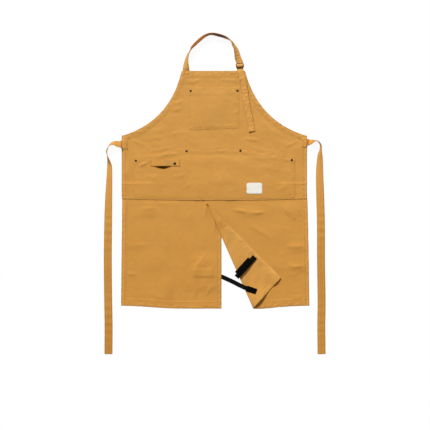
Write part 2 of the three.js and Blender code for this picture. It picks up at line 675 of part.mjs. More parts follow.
function slider() {
  const { width, height, bar } = SLIDER;
  const halfWidth = width / 2;
  const halfHeight = height / 2;
  const inner = halfWidth - bar;
  const { outer: large, inner: small } = SLIDER_CORNER;
  const frame = roundedOutline(new THREE.Shape(), -halfWidth, -halfHeight, halfWidth, halfHeight, large);
  frame.holes.push(roundedOutline(new THREE.Path(), -inner, bar / 2, inner, halfHeight - bar, small));
  frame.holes.push(roundedOutline(new THREE.Path(), -inner, bar - halfHeight, inner, -bar / 2, small));
  const depth = { depth: SLIDER.thick, bevelEnabled: false, curveSegments: SLIDER_CORNER.segments };
  const geometry = new THREE.ExtrudeGeometry(frame, depth);
  return turnedAtSlider(geometry.translate(SLIDER.x, SLIDER.y, SLIDER.low));
}

// Towel loop: flat at both ends, bowed between them
function loopSections() {
  const base = pocketLift(LOOP.right, LOOP.y) + WALL + REST + LOOP.wall / 2;
  const sections = [];
  for (let k = 0; k <= LOOP.steps; k++) {
    const x = lerp(LOOP.left, LOOP.right, k / LOOP.steps);
    const bowed = ramp(x, LOOP_BOW.left, LOOP_BOW.right);
    const z = base + LOOP_BOW.height * Math.sin(bowed * Math.PI) ** 2;
    sections.push(new THREE.Vector3(x, LOOP.y, z));
  }
  return sections.map((middle, k) => {
    const before = sections[Math.max(0, k - 1)];
    const after = sections[Math.min(LOOP.steps, k + 1)];
    const run = after.clone().sub(before).normalize();
    const across = new THREE.Vector3(0, -1, 0);
    return { middle, across, face: across.clone().cross(run) };
  });
}

function labelPlace(i, j, side) {
  const x = lerp(LABEL.left, LABEL.right, i / LABEL.columns);
  const y = LABEL.rows[j];
  return [x, y, pocketLift(x, y) + WALL + REST + side * LABEL.wall];
}

// The highest point of a cloth face under a round cap
function faceUnder(cloth, x, y, radius) {
  const mesh = new THREE.Mesh(cloth, canvas);
  const down = new THREE.Vector3(0, 0, -1);
  let highest = 0;
  for (let k = 0; k < ROUND_SIDES; k++) {
    const angle = (2 * Math.PI * k) / ROUND_SIDES;
    const from = new THREE.Vector3(x + radius * Math.cos(angle), y + radius * Math.sin(angle), ABOVE_ALL);
    const [hit] = new THREE.Raycaster(from, down).intersectObject(mesh);
    highest = Math.max(highest, hit.point.z);
  }
  return highest;
}

// A domed cap on a cloth face, with its shank, which ends flush with the back of the cloth
function stud(size, x, y, cloth) {
  const seat = faceUnder(cloth, x, y, size.cap) + CAP_CLEAR;
  const profile = [
    new THREE.Vector2(0, SHANK_END),
    new THREE.Vector2(size.shank, SHANK_END),
    new THREE.Vector2(size.shank, seat),
    new THREE.Vector2(size.cap, seat),
    new THREE.Vector2(size.cap, seat + size.rim),
    new THREE.Vector2(size.cap * DOME_SHOULDER, seat + size.rim + size.dome * DOME_SHOULDER),
    new THREE.Vector2(0, seat + size.rim + size.dome),
  ];
  const geometry = new THREE.LatheGeometry(profile, ROUND_SIDES);
  geometry.rotateX(Math.PI / 2);
  return geometry.translate(x, y, 0);
}

function bores(places, shank) {
  return places.map(({ x, y }) => ({ x, y, radius: shank + BORE_CLEAR }));
}

// Assembly
const chestRivets = RIVETS.filter((rivet) => rivet.pocket === "chest");
const waistRivets = RIVETS.filter((rivet) => rivet.pocket === "waist");
const snapBore = bores([SNAP_PLACE], SNAP.shank);
const waistBores = [...bores(waistRivets, RIVET.shank), ...snapBore];
const chestBores = bores(chestRivets, RIVET.shank);

const body = gridWall(BODY_COLUMNS, bodyRows.length - 1, bodyPlace);
piece("body_panel", punched(body, [...chestBores, ...waistBores]), canvas);
piece("skirt_left", gridWall(LEFT_SKIRT.columns, LEFT_SKIRT.rows, leftSkirtPlace), canvas);
piece("skirt_right", gridWall(FLAP_COLUMNS + PANEL_COLUMNS, rightSkirtRows, rightSkirtPlace), canvas);
const chestPocket = gridWall(CHEST_POCKET.columns, CHEST_POCKET.rows, chestPocketPlace);
piece("chest_pocket", punched(chestPocket, chestBores), canvas);
const pocketRowCount = pocketRows.length - 1 + WAIST_GRID.topRows;
const waistPocket = gridWall(pocketColumns, pocketRowCount, waistPocketPlace);
piece("waist_pocket", punched(waistPocket, waistBores), canvas);
const towelLoop = ribbon(loopSections(), LOOP.width, LOOP.wall);
piece("towel_loop", punched(towelLoop, snapBore), canvas);
piece("neck_strap", strap(neckRoute, NECK_WIDTH, NECK_WALL), canvas);
piece("strap_anchor", turnedAtSlider(ribbon(anchorSections(), NECK_WIDTH, ANCHOR.wall)), canvas);
piece("strap_slider", slider(), metal);
piece("waist_tie_left", strap(LEFT_TIE_ROUTE, TIE_WIDTH, TIE_WALL), canvas);
piece("waist_tie_right", strap(RIGHT_TIE_ROUTE, TIE_WIDTH, TIE_WALL), canvas);
piece("leg_strap_left", strap(leftWebRoute, WEB_WIDTH, WEB_WALL), webbing);
const rightLegRoute = rightWebRoute(RIGHT_WEB.from, RIGHT_WEB.to, 0, 0);
piece("leg_strap_right", strap(rightLegRoute, RIGHT_WEB.width, WEB_WALL), webbing);
piece("leg_pad_left", strap(leftPadRoute(), PAD.width, PAD.wall), webbing);
const rightPadRoute = rightWebRoute(RIGHT_PAD.from, RIGHT_PAD.to, RIGHT_PAD.offset, WEB_WALL + PAD.clear);
piece("leg_pad_right", strap(rightPadRoute, RIGHT_PAD.width, PAD.wall), webbing);
piece("label", gridWall(LABEL.columns, LABEL.rows.length - 1, labelPlace), cream);

for (const { name, x, y, pocket } of RIVETS) {
  piece(name, stud(RIVET, x, y, pocket === "chest" ? chestPocket : waistPocket), metal);
}
piece("loop_snap", stud(SNAP, SNAP_PLACE.x, SNAP_PLACE.y, towelLoop), metal);

export default apron;
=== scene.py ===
"""Dresses a split-leg work apron that lies face up: canvas, straps, webbing, stitches and metal trims."""

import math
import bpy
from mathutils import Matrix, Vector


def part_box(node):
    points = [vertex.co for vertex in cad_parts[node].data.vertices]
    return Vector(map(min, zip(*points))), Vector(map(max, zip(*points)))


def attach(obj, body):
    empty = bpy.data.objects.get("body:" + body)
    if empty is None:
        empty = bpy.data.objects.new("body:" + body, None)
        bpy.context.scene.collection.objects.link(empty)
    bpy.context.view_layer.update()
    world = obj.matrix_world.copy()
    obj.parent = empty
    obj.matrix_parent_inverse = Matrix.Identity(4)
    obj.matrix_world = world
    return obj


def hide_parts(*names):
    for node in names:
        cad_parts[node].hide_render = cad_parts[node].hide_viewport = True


bl_info = {
    "name": "Work apron",
    "version": (1, 0, 0),
    "blender": (4, 5, 0),
    "location": "3D View > Sidebar > Apron",
    "description": "Lays out a split-leg work apron around its packed frame",
    "category": "Object",
}

from types import SimpleNamespace as Named

import bpy
import numpy as np
from bpy.props import FloatProperty, FloatVectorProperty, PointerProperty
from mathutils import Vector

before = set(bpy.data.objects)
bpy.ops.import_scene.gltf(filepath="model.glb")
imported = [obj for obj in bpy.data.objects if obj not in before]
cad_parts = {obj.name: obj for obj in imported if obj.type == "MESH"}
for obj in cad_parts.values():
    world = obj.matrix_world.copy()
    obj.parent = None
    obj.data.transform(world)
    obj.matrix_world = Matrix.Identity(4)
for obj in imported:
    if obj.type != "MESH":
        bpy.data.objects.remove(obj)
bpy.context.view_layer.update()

# Sizes and places below are in metres, and turns and rolls are written in degrees

# Layers of cloth, and the gap between two of them
WALL = 0.0012
REST = 0.0004
LAYER = WALL + REST
LEAST_WALL = 0.0003

# Body: the bib and waist in one panel
WAIST_HALF = 0.3605
WAIST_TOP = 0.033
BIB_TOP = 0.288
BIB_LEAN = -0.004
BODY_LOW = -0.209
BODY_BOW = 0.007
ARMHOLE_PULLS = ((0.123, 0.288), (0.13925, 0.223), (0.185, 0.0855), (0.3605, 0.035))
SIDE_HEM = 0.018
TOP_HEM = 0.024
LOW_HEM = 0.011
# Distances of its stitch rows from its edges
SIDE_ROWS = (0.0105, 0.0155)
TOP_ROWS = (0.0215,)
LOW_ROWS = (0.0025, 0.0085)
# Close stitching over sewn-in straps: middle x and y, width and height
TACKS = ((-0.1085, 0.277, 0.021, 0.007), (0.0745, 0.277, 0.021, 0.007))
# Crossed boxes of stitches over the waist ties: left, right, low and top
TIE_STITCHES = ((-0.3595, -0.3425, -0.0135, 0.0145), (0.3435, 0.3595, -0.0060, 0.0220))

# Where the body steps up over the skirts at its sides and slopes up over them between, how far out they
# both lie under it at the slit, where it rises over sewn-in straps, and where it settles to its lower edge
SKIRT_STEP = (-0.140, -0.152)
SKIRT_SLOPE = (-0.085, -0.152)
SKIRT_RIDGE = Named(y=-0.1515, half=0.0050, high=0.0005, across=(0.215, 0.275))
OVERLAP = (0.096, 0.069)
TIE_BOX = Named(across=(0.336, 0.341), left=0.0005, right=0.008, half=0.0155)
TIE_RISE = Named(soft=0.004, high=0.0024)
STRAP_RISE = Named(left=(-0.076, -0.092), right=(0.064, 0.082), up=(0.232, 0.254), high=0.002)
SETTLED = (0.006, 0.055)

# Skirts
SKIRT_TOP = -0.156
HEM_INNER = -0.638
HEM_MIDDLE = -0.637
HEM_OUTER = -0.626
HEM_CURVE_FROM = 0.130
SKIRT_HEM = 0.026
# Distances of the skirts' stitch rows from their outer edges, inner edges and hems
SKIRT_SIDE_ROWS = (0.0130,)
SKIRT_INNER_ROWS = (0.0040, 0.0150)
SKIRT_HEM_ROWS = (0.0040, 0.0225)
# Below the body's lower edge: where the skirts' seams come out, and where their cloth lies loose
SKIRT_SHOWS = (-0.206, -0.222)
SKIRT_LOOSE = (-0.209, -0.240)
# Inner edges, and outer edges at the top and the hem
LEFT_INNER = 0.027
LEFT_OUTER = (-0.358, -0.363)
RIGHT_INNER = -0.036
RIGHT_INNER_LEAN = 0.047
RIGHT_OUTER = (0.358, 0.3695)
# Where the right skirt climbs on to the left one, and where the left one rises over its strap
RIGHT_CLIMB = (0.060, 0.034)
STRAP_SWELL = Named(x=(-0.107, -0.075), top=(-0.418, -0.450), low=(-0.582, -0.550), high=0.002)
STRAP_PATCH = Named(x=(-0.0833, -0.0053), y=(-0.5148, -0.4836), soft=0.003, high=0.0024)

# The turned-back corner of the right skirt
TURN_ANGLE = math.radians(23.8)
TURN_COS = math.cos(TURN_ANGLE)
TURN_SIN = math.sin(TURN_ANGLE)
TURN_RADIUS = 0.004
TURN_START = (-0.0296, -0.218)
TURN_CLOSED = 0.034
TURN_SETTLE = (0.005, 0.070)
TURN_SHARPNESS = 4
FLAP_GAP = 0.0003
# The corner's free edge: where it thins, and its lumpy faded band with two worn ridges
FLAP_THIN = Named(reach=0.010, loss=0.65)
FLAP_BAND = (0.022, 0.016)
FLAP_RIDGES = (0.005, 0.016)
FLAP_RIDGE_REACH = 0.0025
# Dye of the reverse: faded all over, more on the band and its ridges, and less towards the turn's start
FLAP_DYE = Named(plain=0.3, band=0.05, ridge=0.19, deeper=0.55)
FLAP_BLOTCHES = Named(share=0.5, size=0.013)
FLAP_DEEPER = (-0.40, -0.31)
# Its unevenness, and the clear panel beside it: past its free edge, and aside of the bend
FLAP_LUMPS = Named(high=0.0008, size=0.050)
FLAP_BEYOND = Named(edge=(0, 0.020), bend=(0, 0.012))
# Where the corner's hem stands open: distance from the bend, half length and height of each wave
HEM_WAVES = ((0.032, 0.062, 0.0105), (0.126, 0.034, 0.0095))
HEM_OPEN = (-0.570, -0.638)

# Pockets, with their slack at full depth and the share of it at the mouth
CHEST = Named(left=-0.101, left_low=-0.095, right=0.097, top=0.224, low=0.059, low_right=0.064)
CHEST_SLACK = Named(high=0.0036, side=(0.008, 0.072), low=(0.0, 0.085), mouth=0.40)
CHEST_HEM = 0.029
CHEST_MOUTH_ROWS = (0.0265,)
# Distances of both pockets' stitch rows from their sewn edges
POCKET_ROWS = (0.002, 0.0075)
WAIST_POCKET = Named(half=0.3151, sewn_half=0.096, sewn_top=-0.0105, corner_top=-0.050, seam=0.005)
WAIST_SLACK = Named(high=0.0025, side=(0.010, 0.085), low=(0.0, 0.140), mouth=0.45)
WAIST_SEWN = Named(across=(0.145, 0.118), up=(-0.065, -0.032))
# A pocket thins out to its sewn edges: how far in, and the shares of its gap and wall left there
POCKET_THIN = Named(reach=0.012, gap=0.25, wall=0.35)
MOUTH_REACH = (0.0, 0.050)
MOUTH_HEM = 0.023
MOUTH_ROWS = (0.003, 0.0205)
# Bar tacks at the inner ends of the hand mouths: distance out, y, width and height
MOUTH_TACK = (0.105, -0.0225, 0.006, 0.010)

# Towel loop, with its bow, and label
LOOP = Named(left=-0.247, right=-0.134, y=-0.0706, width=0.024, wall=0.0014)
LOOP_BOW = Named(high=0.0105, left=-0.238, right=-0.164)
LOOP_ENDS = Named(reach=0.0022, tone=-0.8)
# Painted shadow on the pocket below the bowed towel loop: a crescent under its lower edge, darkened through
# the tone
PAINTED_LOOP_SHADOW = Named(x=(-0.240, -0.166), top=(-0.060, -0.066), low=-0.083, deep=0.0095, soft=0.0015)
PAINTED_LOOP_SHADOW_SIDE = 0.004
PAINTED_LOOP_SHADOW_TONE = 1.85
LABEL_WALL = 0.001
LABEL_CORNER = 0.007
LABEL_INSET = 0.0025

# Straps
NECK_WIDTH = 0.025
NECK_WALL = 0.0016
TIE_WIDTH = 0.030
TIE_WALL = 0.002
WEB_WIDTH = 0.016
WEB_WALL = 0.0016
WEB_CLEAR = 0.0009
WEB_CLIMB = (-0.032, -0.004)
PAD_WIDTH = 0.021
PAD_CLEAR = 0.0004
SLIDER = Named(x=0.0994, y=0.3093, z=0.006, turn=5, width=0.0314, height=0.0208)
SLIDER_BARS = Named(across=0.0021, end=0.0027)
SLIDER_CORNERS = Named(outer=0.0065, inner=0.0040)
SLIDER_PLATE = Named(edge=0.0006, flat=0.0004)
ANCHOR = Named(wall=0.001, start=0.258, flat_to=0.297, inner=0.00175, turns=(-90, 150))

# Right of this x are the neck strap's slider and its loose tail
TAIL_SIDE = 0.05
# Unevenness of straps: where it starts and is full, its height, and the size or length of its waves
NECK_PUCKERS = Named(low=(0.324, 0.334), top=(0.392, 0.370), high=0.0010, length=0.014)
TAIL_LUMPS = Named(y=(0.275, 0.255), high=0.0009, size=0.017)
TIE_RIPPLES = Named(y=(-0.12, -0.16), high=0.0010, length=0.034)
# How much painted light eases a strap's darker tone at its edges, and how far in from them, left and right of
# its run
EDGE_PAINTED_LIGHT_LEFT = (0.8, 0.0034)
EDGE_PAINTED_LIGHT_RIGHT = (0.15, 0.0016)

# A hem's step down to the single cloth, from and to these distances past its width
HEM_STEP = (-0.001, 0.003)
# Relief of stitch rows: depth and reach of a row's groove, and the puckers beside an edge
GROOVE = Named(deep=0.0004, reach=0.0014)
PUCKERS = Named(high=0.00045, reach=0.020, size=0.017)
# Tone along an edge: deep at the edge and in its rows, part kept dye and part painted shade, faded on a worn
# ridge beside it, all a little blotchy
EDGE_DYE_AND_SHADE = Named(tone=0.42, reach=0.0024)
RIDGE_DYE = Named(tone=0.30, place=0.0065, reach=0.0030)
ROW_DYE_AND_SHADE = Named(tone=0.15, reach=0.0018)
BLOTCHES = Named(share=0.35, size=0.011)
# Tone along the body's lower edge: a painted highlight just above it and painted shade on its rim; and darker
# under close stitching
PAINTED_EDGE_HIGHLIGHT = Named(tone=0.5, place=0.0040, reach=0.0030)
PAINTED_RIM_SHADE = Named(tone=0.2, reach=0.0020)
TACK_DARKER = Named(tone=0.45, soft=0.0015)
# Waviness of loose cloth: height and size of its broad and its small waves
BROAD_WAVES = Named(high=0.0006, size=0.085)
SMALL_WAVES = Named(high=0.00022, size=0.030)
# One stitch: share of its length, lift in thread thicknesses, and share of the thread's thickness
STITCH_RINGS = ((0.03, -0.25, 0.5), (0.5, 0.22, 1.0), (0.97, -0.25, 0.5))
STITCH_SIDES = 5
# How far stitch rows stop from the ends of their seams, shorter on the bib and pockets
ROW_END = 0.003
SHORT_END = 0.002
# Where the skirts' outer rows start, and the left skirt's inner rows
SKIRT_ROW_TOP = BODY_LOW - 0.004
LEFT_ROW_TOP = -0.260

# Mesh spacing: close lines in a band along each edge and a little past a hem, and wide ones between
FINE = 0.0015
BAND = 0.027
PAST_HEM = 0.004
COARSE = 0.0048
POCKET_BAND = 0.012
# Stretches of the body's rows above its lower seam: where each ends, and its spacing
WAIST_STRETCHES = ((-0.162, COARSE), (-0.142, FINE), (-0.022, COARSE), (WAIST_TOP, 0.0022))
STRAP_STEP = 0.0024
STRAP_COLUMNS = 12
STRAP_INSET = 0.003

# Folds: middle x and y, turn from +X, half length, half width, height
BODY_FOLDS = (
    (-0.158, 0.146, 24, 0.046, 0.026, 0.0015),
    (-0.205, 0.062, 32, 0.060, 0.026, 0.0013),
    (0.208, 0.060, -34, 0.060, 0.026, 0.0013),
    (-0.336, -0.095, 88, 0.052, 0.024, 0.0020),
    (-0.077, 0.248, 16, 0.045, 0.012, 0.0014),
    (-0.142, 0.166, 12, 0.036, 0.012, 0.0014),
    (-0.150, 0.136, 14, 0.036, 0.010, 0.0010),
    (0.053, 0.253, -3, 0.045, 0.010, 0.0012),
    (-0.142, 0.047, 8, 0.060, 0.012, 0.0012),
    (0.147, 0.021, -9, 0.045, 0.010, 0.0016),
    (0.244, 0.047, -34, 0.045, 0.014, 0.0012),
    (0.201, 0.082, -56, 0.040, 0.012, 0.0010),
    (-0.231, 0.027, 8, 0.070, 0.014, 0.0012),
    (-0.337, -0.074, -82, 0.060, 0.010, 0.0010),
    (0.336, -0.029, -79, 0.055, 0.010, 0.0014),
    (-0.204, -0.016, 11, 0.085, 0.009, 0.0008),
    (0.198, -0.020, -10, 0.090, 0.009, 0.0008),
    (0.014, 0.246, 88, 0.040, 0.006, 0.0008),
    (0.300, 0.004, 24, 0.050, 0.010, 0.0012),
    (-0.300, 0.010, -20, 0.045, 0.010, 0.0012),
)
CHEST_FOLDS = (
    (0.081, 0.164, 14, 0.020, 0.007, 0.0008),
    (0.081, 0.127, 7, 0.020, 0.007, 0.0008),
    (-0.075, 0.127, -6, 0.022, 0.007, 0.0008),
    (-0.079, 0.103, 7, 0.020, 0.006, 0.0007),
)
WAIST_FOLDS = (
    (-0.276, -0.074, 25, 0.036, 0.010, 0.0026),
    (-0.184, -0.037, 9, 0.065, 0.009, 0.0014),
    (-0.134, -0.120, 11, 0.040, 0.012, 0.0012),
    (-0.247, -0.125, 4, 0.055, 0.014, 0.0010),
    (0.165, -0.051, -8, 0.055, 0.010, 0.0014),
    (0.217, -0.092, -13, 0.060, 0.016, 0.0012),
    (0.002, -0.049, 1, 0.075, 0.010, 0.0008),
    (-0.105, -0.160, 28, 0.035, 0.012, 0.0012),
    (0.265, -0.168, 28, 0.036, 0.012, 0.0012),
    (0.071, -0.177, 18, 0.035, 0.012, 0.0010),
)
LEFT_FOLDS = (
    (-0.056, -0.470, 46, 0.062, 0.030, 0.0030),
    (-0.300, -0.392, 2, 0.070, 0.030, 0.0012),
    (-0.258, -0.262, 4, 0.080, 0.030, 0.0022),
    (-0.180, -0.560, 84, 0.070, 0.034, 0.0025),
    (-0.054, -0.452, 54, 0.056, 0.008, 0.0020),
    (-0.323, -0.503, -5, 0.030, 0.010, 0.0022),
    (-0.255, -0.246, 5, 0.045, 0.012, 0.0020),
    (-0.292, -0.390, 1, 0.055, 0.010, 0.0009),
    (-0.033, -0.250, 86, 0.036, 0.007, 0.0042),
    (0.001, -0.310, -80, 0.040, 0.007, 0.0040),
    (-0.218, -0.229, 0, 0.130, 0.010, 0.0010),
    (-0.021, -0.566, 63, 0.032, 0.009, 0.0022),
    (-0.076, -0.579, 66, 0.036, 0.011, 0.0018),
    (-0.222, -0.589, -28, 0.045, 0.014, 0.0012),
    (-0.309, -0.585, -45, 0.034, 0.012, 0.0010),
    (-0.187, -0.380, -85, 0.090, 0.020, 0.0012),
    (-0.068, -0.388, -33, 0.040, 0.012, 0.0010),
)
RIGHT_FOLDS = (
    (0.140, -0.262, -5, 0.080, 0.030, 0.0025),
    (0.300, -0.262, -60, 0.050, 0.028, 0.0025),
    (0.326, -0.400, 4, 0.060, 0.030, 0.0020),
    (0.320, -0.476, -4, 0.060, 0.030, 0.0020),
    (0.104, -0.257, -10, 0.040, 0.011, 0.0028),
    (0.170, -0.264, 3, 0.040, 0.011, 0.0026),
    (0.281, -0.254, -60, 0.034, 0.010, 0.0024),
    (0.332, -0.257, -65, 0.036, 0.010, 0.0026),
    (0.178, -0.335, -31, 0.075, 0.016, 0.0020),
    (0.318, -0.396, 2, 0.050, 0.009, 0.0022),
    (0.324, -0.474, 3, 0.046, 0.009, 0.0024),
    (0.305, -0.505, 3, 0.038, 0.010, 0.0014),
    (0.324, -0.593, 6, 0.045, 0.010, 0.0014),
    (0.276, -0.326, -18, 0.045, 0.014, 0.0010),
)

# Strap routes: x, y, height of what the strap lies on, roll about its own run, and tone, darker below 0 and
# paler above it: dye, and on the neck loop and the left tie's turn also painted light and painted shade
LOOP_ROUTE = (
    (-0.1106, 0.261, 0, 0, 0),
    (-0.1106, 0.276, 0, 0, 0),
    # Tones above 0 on this foot are painted light, against the shade of its own rise
    (-0.1106, 0.287, 0, 1, 0.4),
    (-0.1106, 0.291, 0.0003, 6, 1.0),
    (-0.1105, 0.295, 0.0009, 12, 1.0),
    (-0.1104, 0.301, 0.0014, 20, 1.0),
    (-0.1101, 0.309, 0.0011, 32, 0.6),
    (-0.1096, 0.318, 0.0004, 46, 0.05),
    (-0.107, 0.335, 0, 63, -0.1),
    # From here over the loop's top, tones below 0 are painted shade on its upturned face
    (-0.102, 0.352, 0, 74, -0.5),
    (-0.0934, 0.368, 0, 79, -1.2),
    (-0.0870, 0.3796, 0, 68, -1.9),
    (-0.0791, 0.388, 0, 62, -1.9),
    (-0.0672, 0.4001, 0, 59, -1.85),
    (-0.0550, 0.4109, 0, 58, -1.85),
    (-0.0426, 0.4207, 0, 60, -1.9),
    (-0.0298, 0.4279, 0, 63, -2.25),
    (-0.0175, 0.4318, 0, 65, -2.4),
    (-0.005, 0.4320, 0, 63, -2.6),
    (0.007, 0.4300, 0, 60, -2.65),
    (0.0177, 0.4272, 0, 59, -2.65),
    (0.0299, 0.4239, 0, 61, -2.65),
    (0.0425, 0.4191, 0, 63, -2.4),
    (0.0533, 0.4132, 0, 70, -1.9),
    (0.0641, 0.4058, 0, 77, -0.8),
    (0.0706, 0.3974, 0, 70, -0.7),
    (0.075, 0.388, 0, 62, -0.6),
    (0.0809, 0.3784, 0, 56, -0.3),
    # Tones above 0 from here to the slider are painted light on the rolled stretch
    (0.0854, 0.3675, 0, 43, 0.2),
    (0.088, 0.357, 0, 33, 0.6),
    (0.090, 0.347, 0, 23, 0.6),
    (0.0919, 0.3395, 0, 14, 0.6),
    (0.0934, 0.334, 0.0003, 7, 0.4),
)
# Through the slider: distance before its middle bar, and height
WEAVE_ROUTE = (
    (0.0155, 0.0008),
    (0.011, 0.0012),
    (0.0076, 0.0030),
    (0.0046, 0.0070),
    (0.002, 0.0092),
    (0, 0.0095),
    (-0.002, 0.0092),
    (-0.0048, 0.0072),
    (-0.0078, 0.0032),
    (-0.011, 0.0020),
    (-0.016, 0.0038),
    (-0.022, 0.0052),
)
TAIL_ROUTE = (
    (0.107, 0.268, 0.0050, -3, -0.10),
    (0.112, 0.246, 0.0036, -6, 0),
    (0.116, 0.222, 0.0024, -8, 0),
    (0.121, 0.190, 0.0016, -8, 0),
    (0.127, 0.152, 0.0016, -7, 0),
    (0.136, 0.112, 0.0016, -6, 0),
    (0.142, 0.080, 0.0024, -2, 0),
    (0.147, 0.053, 0.0040, 8, 0),
)
LEFT_TIE_ROUTE = (
    (-0.341, 0, 0, 0, 0),
    (-0.353, 0.0003, 0, 0, -0.2),
    (-0.3605, 0.0012, 0, 0, -0.3),
    (-0.3618, 0.0015, 0, -6, -0.35),
    (-0.3642, 0.0019, 0, -31, -0.35),
    (-0.3757, 0.0033, 0, -42, -0.35),
    (-0.389, 0.0059, 0, -58, -0.35),
    (-0.403, 0.003, 0, -74, -0.3),
    (-0.413, -0.0085, 0, -86, -0.2),
    (-0.419, -0.023, 0, -92, -0.1),
    # These two low tones are painted shade where the tie stands on edge after its corner
    (-0.417, -0.041, 0, -86, -1.0),
    (-0.412, -0.060, 0, -72, -1.2),
    (-0.408, -0.080, 0, -54, -0.1),
    (-0.408, -0.098, 0, -47, 0.1),
    (-0.409, -0.136, 0, -40, 0),
    (-0.412, -0.214, 0, -24, -0.1),
    (-0.414, -0.312, 0, -10, -0.16),
    (-0.4155, -0.448, 0, 0, -0.20),
    (-0.414, -0.604, 0, 0, -0.20),
    (-0.4125, -0.702, 0, 0, -0.28),
    (-0.413, -0.815, 0, 0, -0.36),
)
RIGHT_TIE_ROUTE = (
    (0.342, 0.008, 0, 0, 0),
    (0.353, 0.008, 0, 0, -0.2),
    (0.3605, 0.0082, 0, 0, -0.4),
    (0.3618, 0.0083, 0, 8, -0.5),
    (0.3642, 0.0084, 0, 38, -1.4),
    (0.369, 0.0092, 0, 46, -0.5),
    (0.373, 0.0102, 0, 52, -0.5),
    (0.380, 0.0125, 0, 60, -0.5),
    (0.390, 0.0155, 0, 76, -0.5),
    (0.398, 0.0166, 0, 88, -0.4),
    (0.408, 0.0105, 0, 92, -0.2),
    (0.4145, -0.004, 0, 97, -0.1),
    (0.4135, -0.023, 0, 105, 0),
    (0.4115, -0.041, 0, 124, 0),
    (0.411, -0.060, 0, 135, 0),
    (0.410, -0.098, 0, 148, 0.05),
    (0.4105, -0.136, 0, 157, 0.05),
    (0.413, -0.214, 0, 170, -0.1),
    (0.4155, -0.312, 0, 178, -0.2),
    (0.416, -0.448, 0, 180, -0.22),
    (0.418, -0.604, 0, 180, -0.22),
    (0.417, -0.702, 0, 180, -0.22),
    (0.418, -0.815, 0, 180, -0.22),
)
LEFT_WEB_ROUTE = (
    (-0.036, -0.488),
    (0, -0.502),
    (0.026, -0.5125),
    (0.065, -0.530),
    (0.084, -0.5395),
    (0.096, -0.5455),
    (0.106, -0.550),
    (0.120, -0.5565),
    (0.140, -0.564),
    (0.161, -0.5705),
)
RIGHT_WEB = Named(row=-0.5036, start=-0.015, end=0.091, width=0.0195, steps=6)
# How far the right leg strap stands off the corner at its upper and lower ends
RIGHT_WEB_LIFT = (0.0030, 0.0110)
LEFT_PAD = (0.126, 0.163)
RIGHT_PAD = Named(start=-0.004, end=0.072, offset=0.006, width=0.024)

# Rivets, by their names in the frame, with the sizes of their caps and shanks and of the snap's
RIVETS = ("rivet_chest_left", "rivet_chest_right", *(f"rivet_waist_{k}" for k in range(1, 5)))
RIVET_SIZE = {"shank": 0.0015, "high": 0.0019}
SNAP_SIZE = {"shank": 0.0017, "high": 0.0022}
# A cap's outline, outwards share and upwards share: a rolled rim round a shallow dish with a raised middle
CAP_PROFILE = (
    (1.00, 0.10),
    (1.02, 0.30),
    (0.98, 0.52),
    (0.90, 0.68),
    (0.78, 0.74),
    (0.66, 0.66),
    (0.54, 0.62),
    (0.44, 0.72),
    (0.34, 0.92),
    (0.20, 1.00),
    (0.05, 1.02),
)

# The canvas is a little paler towards the bib: range of y, and share of the faded colour
BIB_PALER_FROM = (-0.50, 0.28)
BIB_PALER_SHARE = (0.0, 0.50)
# Share of the deep colour that is left where the tone paints the deepest shade, below -1
DEEPEST_PAINTED_SHADE_SHARE = 0.12
# A wave texture at a scale of 1 turns through this angle, in radians, over one metre
WAVE_TURN = 20

# Stage: half the floor's width and its level, the plan point under the middle of the picture, the way the
# main light runs and its spread, the sky's least share, and the width of the camera's sensor in millimetres
FLOOR_REACH = 6.0
FLOOR_LEVEL = -0.0003
VIEW_CENTRE = (0.0025, -0.273)
LIGHT_RUN = (0.28, -0.70, -0.72)
LIGHT_SPREAD = 14
SKY_LOW = 0.25
SENSOR_WIDTH = 36.0


class ApronSizes(bpy.types.PropertyGroup):
    """Sizes of the cloth's relief, its stitches and its weave"""

    wrinkle: FloatProperty(
        name="Wrinkles", description="Strength of the folds and puckers, 1 as laid out",
        default=1.0, min=0.0, max=1.5, subtype="FACTOR",
    )
    hem_rise: FloatProperty(
        name="Hem rise", description="How far a turned hem stands above the single cloth",
        default=0.0010, unit="LENGTH",
    )
    stitch_pitch: FloatProperty(
        name="Stitch pitch", description="Distance from one stitch to the next",
        default=0.0034, unit="LENGTH",
    )
    stitch_length: FloatProperty(
        name="Stitch length", description="Length of thread that shows in one stitch",
        default=0.0026, unit="LENGTH",
    )
    thread: FloatProperty(
        name="Thread thickness", description="Thickness of the sewing thread",
        default=0.0008, unit="LENGTH",
    )
    yarn: FloatProperty(
        name="Yarn pitch", description="Distance between two yarns of the canvas",
        default=0.0009, unit="LENGTH",
    )


class ApronColours(bpy.types.PropertyGroup):
    """Colours of the cloth, thread, webbing, metal and label"""

    canvas: FloatVectorProperty(
        name="Canvas", description="Main colour of the canvas",
        default=(0.555, 0.258, 0.049), subtype="COLOR",
    )
    # The faded colour also serves for painted light, and the deep colour for painted shade, where the tone
    # stands in for them
    faded: FloatVectorProperty(
        name="Faded canvas", description="Colour of the canvas where washing has worn it",
        default=(0.683, 0.363, 0.0998), subtype="COLOR",
    )
    deep: FloatVectorProperty(
        name="Deep canvas",
        description="Colour of the canvas where it keeps its dye, in seams and turned edges",
        default=(0.270, 0.080, 0.006), subtype="COLOR",
    )
    thread: FloatVectorProperty(
        name="Thread", description="Colour of the sewing thread",
        default=(0.400, 0.165, 0.028), subtype="COLOR",
    )
    webbing: FloatVectorProperty(
        name="Webbing", description="Colour of the leg straps",
        default=(0.0022, 0.0020, 0.0018), subtype="COLOR",
    )
    metal: FloatVectorProperty(
        name="Antique metal", description="Colour of the rivets, snap and slider",
        default=(0.0070, 0.0038, 0.0030), subtype="COLOR",
    )
    label: FloatVectorProperty(
        name="Label", description="Colour of the woven label",
        default=(0.800, 0.770, 0.690), subtype="COLOR",
    )


